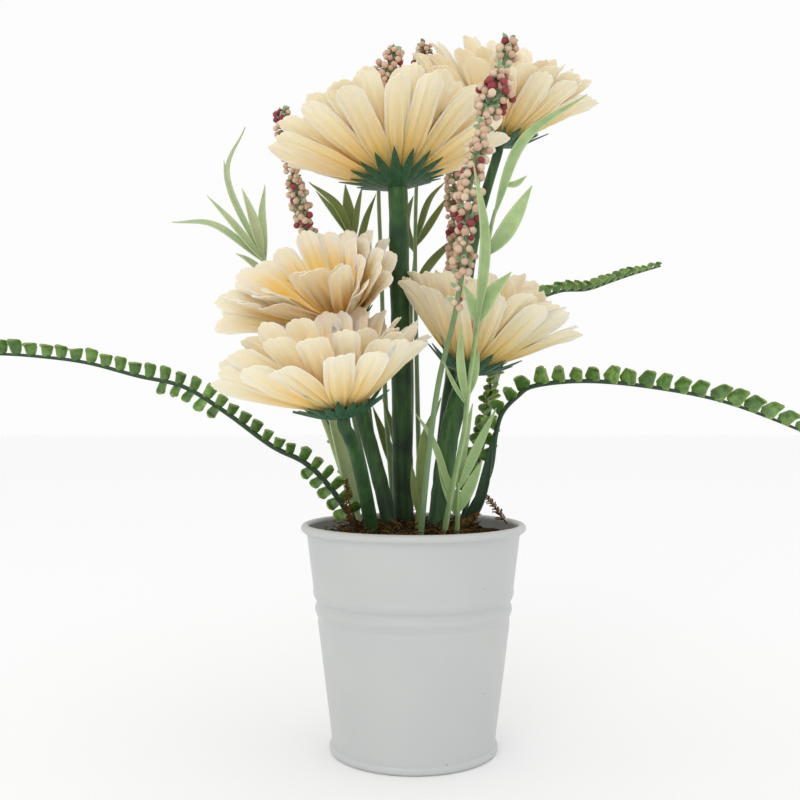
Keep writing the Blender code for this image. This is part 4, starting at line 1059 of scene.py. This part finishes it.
# The leafy sprays: lance leaves and their stem moulded together in soft polyethylene, light green at
# the sides and in front. The olive coat, used among the blooms' stems and behind, is the leaf green
# painted darker as shade, and leaves low on a spray are painted deeper as shade. They are pushed
# into the moss.
LEAF_SHEET = 0.7
SPRAY_STATIONS = 50
leaf_coats = {"bright": leaf_coat("bright moulded leaf", "B2C88C", "6E8A54", "C2D2A2"),
              "light": leaf_coat("light moulded leaf", "9FB67D", "79985D", "B1C290"),
              "pale": leaf_coat("pale moulded leaf", "BCC99C", "9DB27B", "C7D3B1"),
              # Painted shade: the olive coat is the leaf green as it looks in shade.
              "olive": leaf_coat("olive moulded leaf", "788744", "576831", "8B9857")}


def nearest(points, goal):
    """The point of a list that lies nearest to a goal."""
    return min(points, key=lambda point: (point - Vector(goal)).length)


for name, plan in SPRAYS.items():
    line = smooth_route(plan["route"], SPRAY_STATIONS)
    chance = random.Random(f"spray {name}")
    shapes = [rod(line, np.linspace(plan["radius"], 0.8, SPRAY_STATIONS), 10, 0.8)]
    guards = [rod(line[::5], [plan["radius"]] * 10, 5)]
    seats = list(line)
    for place, middle, tip, width in plan["leaves"]:
        root = nearest(seats, place)
        facing = Vector((0.15 + chance.uniform(-0.35, 0.35), -1.0, 0.35)).normalized()
        for shift in (0, 4, -4, 8, -8, 12, -12, 18, -18, 24):
            bent = Vector(middle) + Vector((0.0, -shift * 0.5, 0.0))
            end = Vector(tip) + Vector((0.0, -shift, 0.0))
            guard = sheet(lance(root, bent, end, width, facing, 6, 3, 0.22, 0.3), 1.4)
            if is_clear(guard, f"spray {name}"):
                grid = lance(root, bent, end, width, facing, 22, 9)
                # Painted shade: the lower a leaf sits on its spray, the deeper its green.
                low = 1 - min(1.0, max(0.0, (root.z - ROOT_END) / (line[-1].z - ROOT_END)))
                shapes.append(sheet(grid, LEAF_SHEET, 0.4 * chance.random() + 0.6 * low))
                guards.append(guard)
                seats += smooth_route([root, bent, end], 30)[6:20]
                break
    stand(f"spray {name}", *guards)
    piece(f"leaves_{name}", shapes, leaf_coats[plan["coat"]], "leaf", f"spray_{name}")

# The fern fronds: thick glossy polyethylene leaflets moulded in pairs on a dark wired rib. The right
# frond's rib is wrapped in a dark blade at its root. Some leaflets of the left one hang.
RIB_RADII = (1.5, 0.55)
RIB_STEPS = 119
LAST_PAIR = 0.98
REAR_SIZE = 0.86
SHEATHS = {"right": [((25, 9.5, 101), (33.5, 7, 123), (40, 5, 154), 5.2)]}
LEAFLET_SHEET = 0.8


def leaflet_grid(root, out, wide_way, normal, size, wide, form, bend, rows=10, columns=9):
    """A fern leaflet: a short neck, then a lopsided blade whose width runs from form[0] to form[1]."""
    t = np.linspace(-1, 1, columns)
    grid = []
    for row in range(rows):
        share = row / (rows - 1)
        neck = min(1.0, 0.22 + share / 0.18) * (1 - 0.25 * max(0.0, share - 0.75) / 0.25)
        half = size * wide / 2 * neck * (form[0] + (form[1] - form[0]) * min(1.0, share / 0.8))
        line = []
        for value in t:
            reach = share * (1 - 0.10 * abs(value) ** 4 + 0.10 * value)
            over = max(0.0, reach - 0.62) * bend * 1.6
            fold = over * size - 0.16 * size * value ** 2 * share
            spot = root + out * (reach - over * 0.45) * size
            line.append(spot + wide_way * value * half + normal * fold)
        grid.append(line)
    return np.array(grid)


# Fern polyethylene: glossy and deep green with darker mottling, and yellow-green at the edges, where
# light comes through the thin moulding.
fern, tree = surface("moulded fern leaflet", IOR=1.51, Roughness=0.34, Subsurface_Weight=0.12,
                     Subsurface_Radius=(0.4, 1.0, 0.2), Subsurface_Scale=1.0 * MM)
place, along, across, _, mark = point_marks(tree)
mottle = node(tree, "TexNoise", Vector=place, Scale=per_mm(3), Detail=4.0)
green = node(tree, "Mix", mark, "4F7732", "7AA34A", data_type="RGBA")
# Darker mottling at random.
dark_mottle = node(tree, "MapRange", mottle, 0.4, 0.7, 0.0, 0.7)
deep = node(tree, "Mix", dark_mottle, green, "27411C", data_type="RGBA")
rim = node(tree, "Math", across, 6.0, operation="POWER")
far = node(tree, "Math", along, 7.0, operation="POWER")
edge = node(tree, "Math", rim, far, operation="MAXIMUM")
bright = node(tree, "MapRange", edge, 0.25, 0.9, 0.0, 0.85)
edged = node(tree, "Mix", bright, deep, "8B9F4C", data_type="RGBA")
bump = node(tree, "Bump", Height=mottle, Strength=0.35, Distance=0.25 * MM)
feed(tree, Base_Color=edged, Normal=bump)
rib_skin = leaf_coat("dark wired rib", "2C4B29", "1C3720", "38592F")

for name, plan in FRONDS.items():
    line = smooth_route(plan["route"], RIB_STEPS + 1)
    chance = random.Random(f"frond {name}")
    ways = headings(line)
    shapes = []
    guards = [rod(line[::6], [1.2] * 20, 5)]
    for number in range(plan["pairs"]):
        step = number / (plan["pairs"] - 1)
        share = plan["first"] + (LAST_PAIR - plan["first"]) * step
        place = min(int(share * RIB_STEPS), RIB_STEPS - 1)
        root = line[place].lerp(line[place + 1], share * RIB_STEPS - place)
        way = ways[place]
        across = way.cross(UP).normalized()
        upward = across.cross(way).normalized()
        tall, wide, lean = (np.interp(step, (0, 1), plan[key]) for key in ("tall", "wide", "lean"))
        size = tall * min(1.0, 0.5 + 4 * (1 - share)) * chance.uniform(0.92, 1.06)
        lean = math.radians(lean + chance.uniform(-7, 7))
        turn = math.radians(plan["turn"] + chance.uniform(-8, 8))
        bend = chance.uniform(0.2, 0.9)
        hangs = any(low < share < high for low, high in plan.get("hang", ()))
        for hand in (-1, 1):
            behind = across.y * hand > 0
            for angle in (-75 if hangs and behind else 74, 60, 45, 88, 25, 0, -30):
                tilt = math.radians(angle + chance.uniform(-6, 6))
                out = across * hand * math.cos(tilt) + upward * math.sin(tilt)
                normal = across * hand * math.sin(tilt) - upward * math.cos(tilt)
                leaning = out * math.cos(lean) + way * math.sin(lean)
                along = way * math.cos(lean) - out * math.sin(lean)
                wide_way = along * math.cos(turn) + normal * math.sin(turn) * (-1 if behind else 1)
                own = size * (REAR_SIZE if behind else 1.0)
                grid = leaflet_grid(root, leaning, wide_way, normal, own, wide, plan["form"], bend)
                leaf = sheet(grid, LEAFLET_SHEET, chance.random())
                if is_clear(leaf, f"frond {name}"):
                    shapes.append(leaf)
                    guards.append(leaf)
                    break
    stand(f"frond {name}", *guards)
    ribs = [rod(line, np.linspace(*RIB_RADII, RIB_STEPS + 1), 10, 0.5)]
    for root, middle, tip, width in SHEATHS.get(name, ()):
        facing = Vector((0.2, -1.0, 0.1))
        blade = lance(nearest(line, root), Vector(middle), Vector(tip), width, facing, 18, 7, 0.5)
        ribs.append(sheet(blade, LEAFLET_SHEET, 0.6))
    piece(f"fern_rib_{name}", ribs, rib_skin, "fern", f"frond_{name}")
    piece(f"fern_leaflets_{name}", shapes, fern, "fern", f"frond_{name}")
